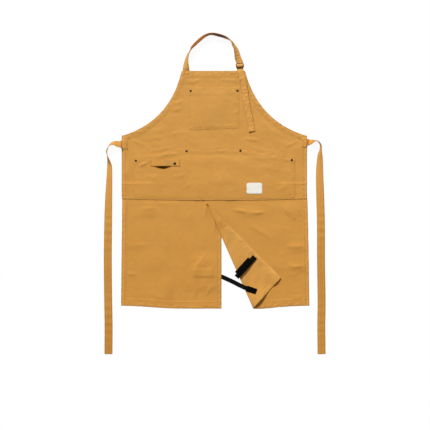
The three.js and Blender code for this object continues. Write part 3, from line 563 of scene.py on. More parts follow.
class ApronStage(bpy.types.PropertyGroup):
    """Floor, light and camera"""

    floor: FloatVectorProperty(
        name="Floor", description="Colour of the floor",
        default=(0.060, 0.060, 0.060), subtype="COLOR",
    )
    glow: FloatProperty(
        name="Floor glow", description="Light from under the floor, which is a lit white table",
        default=0.94,
    )
    sun: FloatProperty(
        name="Main light", description="Strength of the light from the bib's side",
        default=3.4,
    )
    sky: FloatProperty(
        name="Soft light", description="Strength of the light from all round, stronger from the bib's side",
        default=0.36,
    )
    width: FloatProperty(
        name="View width", description="Width of floor that the camera sees",
        default=1.677, unit="LENGTH",
    )
    lens: FloatProperty(
        name="Lens", description="Focal length of the camera",
        default=150.0, subtype="DISTANCE_CAMERA",
    )


def sizes():
    """The sizes that the sidebar shows."""
    return bpy.context.scene.apron_sizes


def colours():
    """The colours that the sidebar shows."""
    return bpy.context.scene.apron_colours


# Small sums


def ramp(value, none, full):
    """0 at one value and 1 at another, straight between them and held outside."""
    return np.clip((value - none) / (full - none), 0.0, 1.0)


def soft_ramp(value, none, full):
    """A ramp with soft ends."""
    share = ramp(value, none, full)
    return share * share * (3 - 2 * share)


def swell(t):
    """A round hump, 1 in the middle and 0 at -1 and 1."""
    return np.cos(np.clip(t, -1, 1) * math.pi / 2) ** 2


def lerp(a, b, share):
    """A value between two others, by a share."""
    return a + (b - a) * share


def crest(distance, reach):
    """1 at no distance, and falling off on both sides over a reach."""
    return np.exp(-((distance / reach) ** 2))


def span_share(value, low, high, soft):
    """1 between two values and 0 outside them, with soft ends."""
    return np.minimum(soft_ramp(value, low - soft, low + soft), soft_ramp(value, high + soft, high - soft))


def joined(*parts):
    """Numbers side by side, as points, vectors or faces."""
    return np.stack(np.broadcast_arrays(*parts), axis=-1)


def unit(vectors):
    """Rows of vectors, each made 1 long."""
    return vectors / np.linalg.norm(vectors, axis=1, keepdims=True)


def step_lengths(points):
    """Lengths of a line's straight steps."""
    return np.linalg.norm(np.diff(points, axis=0), axis=1)


def line_length(points):
    """Length of a line of points."""
    return float(step_lengths(points).sum())


def distances_along(points):
    """Distance of each point of a line from its start."""
    return np.concatenate([[0], np.cumsum(step_lengths(points))])


def read_along(places, along, rows):
    """Rows of numbers that belong to a line's points, read at other places along it."""
    return np.stack([np.interp(places, along, column) for column in rows.T], axis=1)


def rumple(x, y, size, seed, waves=14):
    """Seeded unevenness of about -1 to 1, with humps about one size wide."""
    draw = np.random.default_rng(seed)
    total = np.zeros(np.shape(x))
    for _ in range(waves):
        angle = draw.uniform(0, math.tau)
        length = size * draw.uniform(0.7, 1.7)
        start = draw.uniform(0, math.tau)
        total += np.sin((x * math.cos(angle) + y * math.sin(angle)) * math.tau / length + start)
    return total / math.sqrt(waves)


def fold_height(folds, x, y):
    """Height that a table of folds adds at a point."""
    height = np.zeros(np.shape(x))
    for middle_x, middle_y, turn, long, wide, high in folds:
        cos, sin = math.cos(math.radians(turn)), math.sin(math.radians(turn))
        along = (x - middle_x) * cos + (y - middle_y) * sin
        aside = (y - middle_y) * cos - (x - middle_x) * sin
        height += high * swell(along / long) * swell(aside / wide)
    return height * sizes().wrinkle


def laid_unevenness(x, y, seed):
    """The slight waviness of cloth that lies loose, never below the surface."""
    wave = BROAD_WAVES.high * rumple(x, y, BROAD_WAVES.size, seed)
    wave += SMALL_WAVES.high * rumple(x, y, SMALL_WAVES.size, seed + 1)
    return np.maximum(0, wave + BROAD_WAVES.high) * sizes().wrinkle


def hem(distance, width):
    """1 on a turned hem of that width, 0 inside it."""
    return 1 - soft_ramp(distance, width + HEM_STEP[0], width + HEM_STEP[1])


def seam_relief(distance, rows, x, y, seed):
    """Grooves of stitch rows at distances from an edge, and the puckers that they draw up beside it."""
    relief = np.zeros(np.shape(x))
    for row in rows:
        relief -= GROOVE.deep * crest(distance - row, GROOVE.reach)
    near = PUCKERS.high * sizes().wrinkle * crest(distance, PUCKERS.reach)
    return relief + near * rumple(x, y, PUCKERS.size, seed)


def blotches(x, y, seed):
    """Uneven strength of the tone along a seam."""
    return 1 + BLOTCHES.share * rumple(x, y, BLOTCHES.size, seed)


def seam_tone(distance, rows, x, y, seed):
    """Tone along an edge: deep at the edge and in its stitch rows, part dye and part painted shade, faded on
    the worn ridge beside it.
    """
    tone = RIDGE_DYE.tone * crest(distance - RIDGE_DYE.place, RIDGE_DYE.reach)
    # The dark edge and rows are part dye and part painted shade
    tone -= EDGE_DYE_AND_SHADE.tone * crest(distance, EDGE_DYE_AND_SHADE.reach)
    for row in rows:
        tone -= ROW_DYE_AND_SHADE.tone * crest(distance - row, ROW_DYE_AND_SHADE.reach)
    return tone * blotches(x, y, seed)


def distance_to(line, x, y):
    """Distance from points to a line of straight runs."""
    nearest = np.full(np.shape(x), np.inf)
    for (from_x, from_y), (to_x, to_y) in zip(line[:-1], line[1:]):
        run_x, run_y = to_x - from_x, to_y - from_y
        share = ((x - from_x) * run_x + (y - from_y) * run_y) / (run_x * run_x + run_y * run_y)
        share = np.clip(share, 0, 1)
        away = np.hypot(x - from_x - share * run_x, y - from_y - share * run_y)
        nearest = np.minimum(nearest, away)
    return nearest


def stations(length, low_band=BAND, high_band=BAND, coarse=COARSE):
    """Grid lines between two edges, as shares and offsets: close along the edges, wide between."""
    low = np.arange(0, low_band, FINE)
    high = np.arange(0, high_band, FINE)[::-1]
    count = max(2, round((length - low_band - high_band) / coarse))
    share = np.concatenate([np.zeros(len(low)), np.linspace(0, 1, count + 1), np.ones(len(high))])
    offset = np.concatenate([low, np.linspace(low_band, -high_band, count + 1), -high])
    return share, offset


def between(low, high, lines):
    """Places of grid lines between two edges."""
    share, offset = lines
    return low + (high - low) * share + offset


# Meshes


def mesh_object(name, points, faces, weave=None, tone=None):
    """A smooth mesh object from arrays, with weave coordinates and the tone if given."""
    mesh = bpy.data.meshes.new(name)
    mesh.from_pydata(np.asarray(points).tolist(), [], faces)
    mesh.shade_smooth()
    if weave is not None:
        corners = np.zeros(len(mesh.loops), np.int32)
        mesh.loops.foreach_get("vertex_index", corners)
        layer = mesh.uv_layers.new(name="weave")
        layer.data.foreach_set("uv", np.asarray(weave, np.float32)[corners].ravel())
    if tone is not None:
        attribute = mesh.attributes.new("tone", "FLOAT", "POINT")
        attribute.data.foreach_set("value", np.asarray(tone, np.float32))
    made = bpy.data.objects.new(name, mesh)
    bpy.context.scene.collection.objects.link(made)
    return made


def rim_indices(rows, columns):
    """Grid points round the rim, anticlockwise seen from above."""
    index = np.arange(rows * columns).reshape(rows, columns)
    return np.concatenate([index[0, :], index[1:, -1], index[-1, -2::-1], index[-2:0:-1, 0]])


def grid_faces(rows, columns, first, upward):
    """Quads of a grid of points that starts at a point number."""
    index = np.arange(rows * columns).reshape(rows, columns) + first
    corners = [index[:-1, :-1], index[:-1, 1:], index[1:, 1:], index[1:, :-1]]
    if not upward:
        corners.reverse()
    return joined(*(c.ravel() for c in corners))


def wall_object(name, low, high, weave, tone):
    """A closed cloth wall between two grids of points, with a rounded rim, above the surface."""
    rows, columns = low.shape[:2]
    count = rows * columns
    flat_low, flat_high = low.reshape(-1, 3), high.reshape(-1, 3)
    rim = rim_indices(rows, columns)
    edge_low, edge_high = flat_low[rim], flat_high[rim]
    middle = (edge_low + edge_high) / 2
    run = np.roll(middle, -1, axis=0) - np.roll(middle, 1, axis=0)
    thick = edge_high - edge_low
    outward = np.cross(run, thick)
    outward /= np.linalg.norm(outward, axis=1, keepdims=True) + 1e-12
    middle = middle + outward * 0.4 * np.linalg.norm(thick, axis=1, keepdims=True)
    after = np.roll(np.arange(len(rim)), -1)
    belt = 2 * count + np.arange(len(rim))
    below = joined(rim, rim[after], belt[after], belt)
    above = joined(belt, belt[after], rim[after] + count, rim + count)
    faces = [grid_faces(rows, columns, 0, False), grid_faces(rows, columns, count, True), below, above]
    points = np.concatenate([flat_low, flat_high, middle])
    points[:, 2] = np.maximum(points[:, 2], 0)
    weave_flat, tone_flat = weave.reshape(-1, 2), tone.reshape(-1)
    return mesh_object(
        name,
        points,
        np.concatenate(faces).tolist(),
        np.concatenate([weave_flat, weave_flat, weave_flat[rim]]),
        np.concatenate([tone_flat, tone_flat, tone_flat[rim]]),
    )


def laid_cloth(name, x, y, under, face, tone=None):
    """A cloth wall over a plan grid, from functions for its underside, its front and its tone."""
    low, high = (joined(x, y, height(x, y)) for height in (under, face))
    dye = np.zeros(x.shape) if tone is None else tone(x, y)
    return wall_object(name, low, high, joined(x, y), dye)


def resampled(points, ups, places):
    """Points and upward directions of a line at distances along it."""
    along = distances_along(points)
    return read_along(places, along, points), unit(read_along(places, along, ups))


def stitch_row(points, ups):
    """Starts, ends and upward directions of the stitches along a line."""
    length = line_length(points)
    count = max(1, int(length / sizes().stitch_pitch))
    centres = (np.arange(count) + 0.5) * length / count
    start, up = resampled(points, ups, centres - sizes().stitch_length / 2)
    end, _ = resampled(points, ups, centres + sizes().stitch_length / 2)
    return start, end, up


def sew(name, rows, thread=None):
    """All the stitches of a piece as one mesh: rows of (points, upward directions)."""
    made = [stitch_row(points, ups) for points, ups in rows]
    start, end, up = (np.concatenate(parts) for parts in zip(*made))
    run = end - start
    aside = unit(np.cross(run, up))
    thick = sizes().thread
    rings = []
    for share, lift, size in STITCH_RINGS:
        centre = start + run * share + up * lift * thick
        for k in range(STITCH_SIDES):
            angle = math.tau * k / STITCH_SIDES
            around = aside * math.cos(angle) + up * math.sin(angle) * 0.8
            rings.append(centre + around * size * thick / 2)
    points = np.stack(rings, axis=1).reshape(-1, 3)
    points[:, 2] = np.maximum(points[:, 2], 0)
    one = []
    for ring in range(len(STITCH_RINGS) - 1):
        for k in range(STITCH_SIDES):
            a = ring * STITCH_SIDES + k
            b = ring * STITCH_SIDES + (k + 1) % STITCH_SIDES
            one.append([b, a, a + STITCH_SIDES, b + STITCH_SIDES])
    last = (len(STITCH_RINGS) - 1) * STITCH_SIDES
    one.append(list(range(STITCH_SIDES)))
    one.append([last + k for k in reversed(range(STITCH_SIDES))])
    per_stitch = len(STITCH_RINGS) * STITCH_SIDES
    faces = [[v + per_stitch * s for v in face] for s in range(len(start)) for face in one]
    piece = mesh_object(name, points, faces)
    finish_piece(piece, thread or thread_material(), "canvas")
    return piece


def on_face(face, x, y):
    """A line of points on a cloth face, and the upward directions there."""
    reach = 0.001
    x, y = np.asarray(x, float), np.asarray(y, float)
    slope_x = (face(x + reach, y) - face(x - reach, y)) / (2 * reach)
    slope_y = (face(x, y + reach) - face(x, y - reach)) / (2 * reach)
    return joined(x, y, face(x, y)), unit(joined(-slope_x, -slope_y, 1))


def rows_beside(face, x, edge, insets):
    """Stitch rows on a cloth face, at distances up from an edge that is a function of x."""
    return [on_face(face, x, edge(x) + inset) for inset in insets]


def straight(face, a, b, step=0.003):
    """A straight line on a cloth face, from one plan point to another."""
    count = max(2, int(math.dist(a, b) / step))
    share = np.linspace(0, 1, count + 1)
    return on_face(face, lerp(a[0], b[0], share), lerp(a[1], b[1], share))


def finish_piece(piece, material, slot, *nodes):
    """Gives a piece its material, and says which solids of the frame it stands for."""
    piece.data.materials.append(material)
    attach(piece, "root")
    if nodes:
        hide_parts(*nodes)


# Materials


def made_once(name):
    """Turns a function that dresses a shader into one that gives a material of that name, made once."""

    def keep(dress):
        def material():
            known = bpy.data.materials.get(name)
            if known:
                return known
            made = bpy.data.materials.new(name)
            made.use_nodes = True
            dress(made.node_tree, made.node_tree.nodes["Principled BSDF"])
            return made

        return material

    return keep


def feed(tree, socket, value):
    """Links an input to another socket, or gives it a number or a colour."""
    if isinstance(value, bpy.types.NodeSocket):
        tree.links.new(value, socket)
    elif socket.type == "RGBA":
        socket.default_value = (*value, 1)
    else:
        socket.default_value = value


def feed_all(tree, node, inputs):
    """Feeds a node's inputs by name."""
    for name, value in inputs.items():
        feed(tree, node.inputs[name], value)


def add_node(tree, kind, **settings):
    """A node with its settings."""
    node = tree.nodes.new(kind)
    for key, value in settings.items():
        setattr(node, key, value)
    return node


def colour_mix(tree, share, first, second):
    """A colour between two others, each a colour or a socket."""
    mix = add_node(tree, "ShaderNodeMix", data_type="RGBA")
    for number, value in ((0, share), (6, first), (7, second)):
        feed(tree, mix.inputs[number], value)
    return mix.outputs[2]


def math_node(tree, operation, *values):
    """A value worked out from others, each a number or a socket."""
    node = add_node(tree, "ShaderNodeMath", operation=operation)
    for socket, value in zip(node.inputs, values):
        feed(tree, socket, value)
    return node.outputs[0]


def map_range(tree, value, given, wanted):
    """A value moved from one range to another, and held inside it."""
    node = add_node(tree, "ShaderNodeMapRange")
    names = ("Value", "From Min", "From Max", "To Min", "To Max")
    feed_all(tree, node, dict(zip(names, (value, *given, *wanted))))
    return node.outputs["Result"]


def noise(tree, place, scale, detail, rough=0.5):
    """Noise at places, as a share."""
    node = add_node(tree, "ShaderNodeTexNoise")
    feed_all(tree, node, {"Vector": place, "Scale": scale, "Detail": detail, "Roughness": rough})
    return node.outputs["Fac"]


def object_place(tree):
    """Places on an object, as a socket."""
    return add_node(tree, "ShaderNodeTexCoord").outputs["Object"]


def weave_place(tree):
    """Places in the weave, as a socket."""
    return add_node(tree, "ShaderNodeUVMap", uv_map="weave").outputs["UV"]


def along_y(tree, place):
    """How far along y a place is."""
    axes = add_node(tree, "ShaderNodeSeparateXYZ")
    feed(tree, axes.inputs["Vector"], place)
    return axes.outputs["Y"]


def woven_height(tree, place, across, along):
    """Height of a plain weave with those yarn pitches."""
    waves = []
    for pitch, direction in ((across, "X"), (along, "Y")):
        wave = add_node(tree, "ShaderNodeTexWave", wave_type="BANDS", bands_direction=direction)
        feed_all(tree, wave, {"Vector": place, "Scale": math.tau / (WAVE_TURN * 2 * pitch)})
        feed_all(tree, wave, {"Distortion": 0.6, "Detail": 1.0, "Detail Scale": 0.4})
        waves.append(math_node(tree, "SUBTRACT", wave.outputs["Fac"], 0.5))
    return math_node(tree, "MULTIPLY_ADD", math_node(tree, "MULTIPLY", *waves), 2.0, 0.5)


def slubs(tree, place, stretch, scale):
    """Unevenness of the yarns, drawn out by a stretch along each axis."""
    mapping = add_node(tree, "ShaderNodeMapping")
    feed_all(tree, mapping, {"Vector": place, "Scale": stretch})
    return noise(tree, mapping.outputs["Vector"], scale, 2.0, 0.6)


def bump(tree, shader, height, strength, distance):
    """Roughens a shader's surface by a height."""
    node = add_node(tree, "ShaderNodeBump")
    feed_all(tree, node, {"Height": height, "Strength": strength, "Distance": distance})
    feed(tree, shader.inputs["Normal"], node.outputs["Normal"])


@made_once("mustard_canvas")
def canvas_material(tree, shader):
    """Washed plain-woven cotton canvas: paler towards the bib and on worn ridges, deeper in seams, with
    painted light and painted shade where the tone stands in for them, darkest below -1.
    """
    shade = colours()
    canvas, deep = Vector(shade.canvas), Vector(shade.deep)
    threads, where = weave_place(tree), object_place(tree)
    yarns = math_node(tree, "ADD", *(slubs(tree, threads, way, 6.0) for way in ((8, 160, 1), (160, 8, 1))))
    spread = map_range(tree, noise(tree, where, 14.0, 5.0, 0.6), (0.3, 0.7), (-0.09, 0.09))
    towards_bib = map_range(tree, along_y(tree, where), BIB_PALER_FROM, BIB_PALER_SHARE)
    tone = add_node(tree, "ShaderNodeAttribute", attribute_name="tone").outputs["Fac"]
    # The tone carries dye and wear, and also painted light above 0 and painted shade below 0
    total_tone = math_node(tree, "ADD", math_node(tree, "ADD", tone, towards_bib), spread)
    worn = colour_mix(tree, math_node(tree, "MAXIMUM", total_tone, 0.0), canvas, shade.faded)
    kept = math_node(tree, "MAXIMUM", math_node(tree, "MULTIPLY", total_tone, -1.0), 0.0)
    dyed_and_shaded = colour_mix(tree, kept, worn, deep)
    grain = map_range(tree, yarns, (0.75, 1.25), (0.0, 0.30))
    yarned = colour_mix(tree, grain, dyed_and_shaded, canvas * 0.86)
    # Below -1 the tone paints the deepest shade, towards a near-black share of the deep colour
    deepest_painted_shade = colour_mix(tree, math_node(tree, "SUBTRACT", kept, 1.0), yarned, deep * DEEPEST_PAINTED_SHADE_SHARE)
    feed_all(tree, shader, {"Base Color": deepest_painted_shade, "Roughness": 0.92, "Specular IOR Level": 0.1})
    feed_all(tree, shader, {"Sheen Weight": 0.04, "Sheen Roughness": 0.6})
    height = woven_height(tree, threads, sizes().yarn, sizes().yarn)
    relief = math_node(tree, "ADD", height, math_node(tree, "MULTIPLY", yarns, 0.4))
    bump(tree, shader, relief, 0.35, 0.0005)


def twisted(tree, shader, colour, low, high):
    """Twisted thread between two shares of a colour, with the height of its twist."""
    twist = noise(tree, object_place(tree), 1800.0, 2.0)
    mixed = colour_mix(tree, twist, Vector(colour) * low, Vector(colour) * high)
    feed_all(tree, shader, {"Base Color": mixed, "Roughness": 0.8})
    return twist


@made_once("canvas_thread")
def thread_material(tree, shader):
    """Twisted cotton thread, close to the canvas in colour."""
    twist = twisted(tree, shader, colours().thread, 0.85, 1.15)
    feed_all(tree, shader, {"Sheen Weight": 0.15})
    bump(tree, shader, twist, 0.4, 0.0002)


@made_once("cream_thread")
def label_thread_material(tree, shader):
    """Twisted cream thread for the label."""
    twisted(tree, shader, colours().label, 0.7, 0.95)


@made_once("black_webbing")
def webbing_material(tree, shader):
    """Ribbed black webbing."""
    place = weave_place(tree)
    fuzz = math_node(tree, "MULTIPLY", slubs(tree, place, (60, 60, 1), 12.0), 0.8)
    webbing = Vector(colours().webbing)
    mixed = colour_mix(tree, fuzz, webbing, webbing * 3.2)
    feed_all(tree, shader, {"Base Color": mixed, "Roughness": 0.8, "Specular IOR Level": 0.06})
    bump(tree, shader, woven_height(tree, place, 0.0007, 0.0012), 0.6, 0.0006)


@made_once("black_fastener")
def hook_material(tree, shader):
    """Black fastener tape with a dense nap."""
    cells = add_node(tree, "ShaderNodeTexVoronoi")
    feed_all(tree, cells, {"Vector": weave_place(tree), "Scale": 900.0})
    nap = cells.outputs["Distance"]
    webbing = Vector(colours().webbing)
    mixed = colour_mix(tree, nap, webbing * 1.8, webbing * 0.6)
    feed_all(tree, shader, {"Base Color": mixed, "Roughness": 0.95, "Specular IOR Level": 0.04})
    bump(tree, shader, nap, 0.8, 0.0006)


@made_once("antique_metal")
def metal_material(tree, shader):
    """Dark antique metal, rubbed brighter in patches."""
    rub = noise(tree, object_place(tree), 240.0, 5.0, 0.65)
    metal = Vector(colours().metal)
    mixed = colour_mix(tree, rub, metal * 0.5, metal * 1.7)
    rough = map_range(tree, rub, (0.0, 1.0), (0.50, 0.80))
    feed_all(tree, shader, {"Base Color": mixed, "Roughness": rough})
    feed_all(tree, shader, {"Metallic": 0.85, "Specular IOR Level": 0.25})
    bump(tree, shader, rub, 0.15, 0.0002)


@made_once("cream_label")
def label_material(tree, shader):
    """Cream damask label with fine ribs."""
    place = weave_place(tree)
    label = Vector(colours().label)
    mixed = colour_mix(tree, slubs(tree, place, (1, 1, 1), 60.0), label * 0.94, label * 1.05)
    feed_all(tree, shader, {"Base Color": mixed, "Roughness": 0.75, "Sheen Weight": 0.1})
    bump(tree, shader, woven_height(tree, place, 0.0004, 0.0007), 0.3, 0.0004)


@made_once("pale_floor")
def floor_material(tree, shader):
    """Lit white table."""
    stage = bpy.context.scene.apron_stage
    feed_all(tree, shader, {"Base Color": stage.floor, "Roughness": 0.9, "Specular IOR Level": 0.0})
    feed_all(tree, shader, {"Emission Color": (1, 1, 1), "Emission Strength": stage.glow})


# Body


def bezier(pulls, count):
    """Points of a cubic curve from its four pull points."""
    share = np.linspace(0, 1, count)[:, None]
    a, b, c, d = (np.array(p) for p in pulls)
    rest = 1 - share
    return rest**3 * a + 3 * rest**2 * share * b + 3 * rest * share**2 * c + share**3 * d


ARMHOLE_LINE = bezier(ARMHOLE_PULLS, 121)
SIDE_LINE = np.concatenate([ARMHOLE_LINE, [(WAIST_HALF, WAIST_TOP), (WAIST_HALF, 2 * BODY_LOW)]])


def body_lean(y):
    """How far the bib's middle lies off the body's, at a height."""
    return BIB_LEAN * ramp(y, WAIST_TOP, BIB_TOP)


def body_half(y):
    """Half the body's width at a height."""
    return np.interp(y, SIDE_LINE[::-1, 1], SIDE_LINE[::-1, 0])


def body_low(x):
    """The body's lower edge."""
    return BODY_LOW - BODY_BOW * (1 - (x / WAIST_HALF) ** 2)


def body_lift(x, y):
    """Height of the body's underside over what lies below it."""
    at_sides = soft_ramp(np.abs(x), *SKIRT_RIDGE.across)
    over_skirts = lerp(soft_ramp(y, *SKIRT_SLOPE), soft_ramp(y, *SKIRT_STEP), at_sides)
    over_both = soft_ramp(np.abs(x), *OVERLAP)
    lift = LAYER * over_skirts * (1 + over_both)
    ridge = swell((y - SKIRT_RIDGE.y) / SKIRT_RIDGE.half)
    lift += SKIRT_RIDGE.high * ridge * at_sides
    from_tie = np.abs(y - np.where(x < 0, TIE_BOX.left, TIE_BOX.right))
    over_ties = soft_ramp(from_tie, TIE_BOX.half + TIE_RISE.soft, TIE_BOX.half)
    lift += TIE_RISE.high * over_ties * soft_ramp(np.abs(x), *TIE_BOX.across)
    over_neck = np.maximum(soft_ramp(x, *STRAP_RISE.left), soft_ramp(x, *STRAP_RISE.right))
    lift += STRAP_RISE.high * over_neck * soft_ramp(y, *STRAP_RISE.up)
    loose = soft_ramp(y - body_low(x), *SETTLED)
    return lift + fold_height(BODY_FOLDS, x, y) + laid_unevenness(x, y, 11) * loose


def body_edges(x, y):
    """Distances to the body's side and armhole edges, its top and its lower edge."""
    return distance_to(SIDE_LINE, np.abs(x - body_lean(y)), y), BIB_TOP - y, y - body_low(x)


def body_face(x, y):
    """Height of the body's front."""
    side, top, low = body_edges(x, y)
    hems = np.maximum(np.maximum(hem(side, SIDE_HEM), hem(top, TOP_HEM)), 0.4 * hem(low, LOW_HEM))
    relief = seam_relief(side, SIDE_ROWS, x, y, 21)
    relief += seam_relief(top, TOP_ROWS, x, y, 22) + 0.5 * seam_relief(low, LOW_ROWS, x, y, 23)
    return body_lift(x, y) + WALL + sizes().hem_rise * hems + relief


def body_tone(x, y):
    """Tone of the body: dye and painted shade along its seams, a painted highlight and painted shade at its
    lower edge, and darker under the close stitching where straps are sewn in.
    """
    side, top, low = body_edges(x, y)
    tone = seam_tone(side, SIDE_ROWS, x, y, 24) + seam_tone(top, TOP_ROWS, x, y, 25)
    # Painted highlight just above the lower edge, and painted shade on its rim
    worn = PAINTED_EDGE_HIGHLIGHT.tone * crest(low - PAINTED_EDGE_HIGHLIGHT.place, PAINTED_EDGE_HIGHLIGHT.reach)
    worn -= PAINTED_RIM_SHADE.tone * crest(low, PAINTED_RIM_SHADE.reach)
    tone += worn * blotches(x, y, 26)
    for place_x, place_y, width, height in TACKS:
        across = span_share(x, place_x - width / 2, place_x + width / 2, TACK_DARKER.soft)
        up = span_share(y, place_y - height / 2, place_y + height / 2, TACK_DARKER.soft)
        tone -= TACK_DARKER.tone * (across * up)
    return tone


def offset_line(line, distance):
    """A plan line moved to its left."""
    run = unit(np.gradient(line, axis=0))
    return line + distance * joined(-run[:, 1], run[:, 0])


def body_stitches():
    """Stitch rows along the body's edges, and over the straps that are sewn into it."""
    rows = []
    dense = np.linspace(BODY_LOW + SHORT_END, WAIST_TOP - 0.010, 60)
    side = np.concatenate([ARMHOLE_LINE[:-6], joined(WAIST_HALF, dense[::-1])])
    for inset in SIDE_ROWS:
        line = offset_line(side, -inset)
        line = line[line[:, 1] < BIB_TOP - SHORT_END]
        for mirror in (1, -1):
            rows.append(on_face(body_face, mirror * line[:, 0] + body_lean(line[:, 1]), line[:, 1]))
    for inset in TOP_ROWS:
        y = BIB_TOP - inset
        half = float(body_half(y)) - SHORT_END
        rows.append(straight(body_face, (BIB_LEAN - half, y), (BIB_LEAN + half, y)))
    x = np.linspace(ROW_END - WAIST_HALF, WAIST_HALF - ROW_END, 240)
    rows += rows_beside(body_face, x, body_low, LOW_ROWS)
    for box in TACKS:
        rows += tack(body_face, *box)
    for left, right, low, top in TIE_STITCHES:
        rows += boxed(body_face, left, right, low, top)
        rows.append(straight(body_face, (left, low), (right, top)))
        rows.append(straight(body_face, (left, top), (right, low)))
    return rows


def boxed(face, left, right, low, top):
    """Stitch rows round a plan box."""
    corners = [(left, low), (right, low), (right, top), (left, top), (left, low)]
    return [straight(face, a, b) for a, b in zip(corners[:-1], corners[1:])]


def tack(face, x, y, width, height):
    """Stitch rows of a bar tack: a small box filled with close rows."""
    levels = [y + height * (k / 3 - 0.5) for k in range(4)]
    return [straight(face, (x - width / 2, level), (x + width / 2, level)) for level in levels]


class APRON_OT_body(bpy.types.Operator):
    """Lay out the bib and waist panel"""

    bl_idname = "apron.body"
    bl_label = "Body panel"

    def execute(self, context):
        share, offset = stations(2 * WAIST_HALF)
        seam = LOW_HEM + PAST_HEM
        plain_rows = []
        start = BODY_LOW + LOW_HEM + PAST_HEM
        for end, spacing in WAIST_STRETCHES:
            plain_rows.append(np.arange(start, end, spacing))
            start = end
        plain_rows.append(bezier(ARMHOLE_PULLS, 120)[::-1, 1])
        x_low = between(-WAIST_HALF, WAIST_HALF, (share, offset))
        xs, ys = [], []
        for rise in np.arange(0, seam, FINE):
            xs.append(x_low)
            ys.append(body_low(x_low) + rise + (BODY_LOW - body_low(x_low)) * rise / seam)
        for y in np.concatenate(plain_rows):
            half = float(body_half(y))
            shrink = min(1.0, half / WAIST_HALF)
            xs.append(lerp(-half, half, share) + offset * shrink + body_lean(y))
            ys.append(np.full(len(share), y))
        x, y = np.array(xs), np.array(ys)
        piece = laid_cloth("body", x, y, body_lift, body_face, body_tone)
        finish_piece(piece, canvas_material(), "canvas", "body_panel")
        stitches = sew("body_stitches", body_stitches())
        return {"FINISHED"}


# Pockets


def chest_edges(x, y):
    """Distances to the chest pocket's sides, top and lower edge."""
    up = ramp(y, CHEST.low, CHEST.top)
    left = lerp(CHEST.left_low, CHEST.left, up)
    across = ramp(x, CHEST.left, CHEST.right)
    side = np.minimum(x - left, CHEST.right - x)
    return side, CHEST.top - y, y - lerp(CHEST.low, CHEST.low_right, across)


def thinned(full, least, edge):
    """A gap or wall that thins out to a share of itself at a pocket's sewn edge."""
    return full * lerp(least, 1, soft_ramp(edge, 0, POCKET_THIN.reach))


def patch_under(x, y, edges, slack, folds, sewn=0):
    """Height of a pocket's underside: the body's front, a gap, slack away from sewn places, and folds."""
    side, top, low = edges
    gap = thinned(REST, POCKET_THIN.gap, np.minimum(side, low))
    share = soft_ramp(side, *slack.side) * soft_ramp(low, *slack.low)
    loose = slack.high * share * lerp(slack.mouth, 1, soft_ramp(top, *MOUTH_REACH))
    return body_face(x, y) + gap + loose * (1 - sewn) + fold_height(folds, x, y)


def patch_wall(edge, hems, relief):
    """Thickness of a pocket, from its distance to a sewn edge, its hems and its seams."""
    wall = thinned(WALL, POCKET_THIN.wall, edge)
    return np.maximum(wall + sizes().hem_rise * hems + relief, LEAST_WALL)


def chest_under(x, y):
    """Height of the chest pocket's underside."""
    return patch_under(x, y, chest_edges(x, y), CHEST_SLACK, CHEST_FOLDS)


def chest_face(x, y):
    """Height of the chest pocket's front."""
    side, top, low = chest_edges(x, y)
    edge = np.minimum(side, low)
    relief = seam_relief(edge, POCKET_ROWS, x, y, 31) + seam_relief(top, CHEST_MOUTH_ROWS, x, y, 32)
    return chest_under(x, y) + patch_wall(edge, 0.6 * hem(top, CHEST_HEM), relief)


def chest_tone(x, y):
    """Tone of the chest pocket: dye and painted shade along its seams."""
    side, top, low = chest_edges(x, y)
    sewn = seam_tone(np.minimum(side, low), POCKET_ROWS, x, y, 33)
    return 0.3 * sewn + 0.5 * seam_tone(top, CHEST_MOUTH_ROWS, x, y, 34)


def pocket_top(x):
    """The waist pocket's upper edge: level in the middle, slanted at the hand mouths."""
    slant = ramp(np.abs(x), WAIST_POCKET.sewn_half, WAIST_POCKET.half)
    return lerp(WAIST_POCKET.sewn_top, WAIST_POCKET.corner_top, slant)


def pocket_edges(x, y):
    """Distances to the waist pocket's sides, top and lower edge."""
    low = body_low(x) + WAIST_POCKET.seam
    return WAIST_POCKET.half - np.abs(x), pocket_top(x) - y, y - low


def pocket_under(x, y):
    """Height of the waist pocket's underside."""
    sewn = soft_ramp(np.abs(x), *WAIST_SEWN.across) * soft_ramp(y, *WAIST_SEWN.up)
    return patch_under(x, y, pocket_edges(x, y), WAIST_SLACK, WAIST_FOLDS, sewn)


def pocket_face(x, y):
    """Height of the waist pocket's front."""
    side, top, low = pocket_edges(x, y)
    relief = seam_relief(side, POCKET_ROWS, x, y, 41) + seam_relief(top, MOUTH_ROWS, x, y, 42)
    relief += 0.4 * seam_relief(low, (), x, y, 43)
    return pocket_under(x, y) + patch_wall(np.minimum(side, low), 0.7 * hem(top, MOUTH_HEM), relief)


def pocket_tone(x, y):
    """Tone of the waist pocket: dye and painted shade along its seams, and a painted shadow in the crescent
    below the towel loop.
    """
    side, top, _ = pocket_edges(x, y)
    tone = 0.4 * seam_tone(side, POCKET_ROWS, x, y, 44) + 0.5 * seam_tone(top, MOUTH_ROWS, x, y, 45)
    # Painted shadow: a crescent under the loop's lower edge, deepest where the loop bows highest
    crescent = PAINTED_LOOP_SHADOW.low - PAINTED_LOOP_SHADOW.deep * np.sin(ramp(x, *PAINTED_LOOP_SHADOW.x) * math.pi)
    below = soft_ramp(y, crescent - PAINTED_LOOP_SHADOW.soft, crescent + PAINTED_LOOP_SHADOW.soft)
    inside = span_share(x, *PAINTED_LOOP_SHADOW.x, PAINTED_LOOP_SHADOW_SIDE)
    return tone - PAINTED_LOOP_SHADOW_TONE * below * inside * soft_ramp(y, *PAINTED_LOOP_SHADOW.top)


def pocket_piece(name, node, x, y, under, face, tone, rows):
    """A patch pocket with its stitches."""
    piece = laid_cloth(name, x, y, under, face, tone)
    finish_piece(piece, canvas_material(), "canvas", node)
    stitches = sew(name + "_stitches", rows)


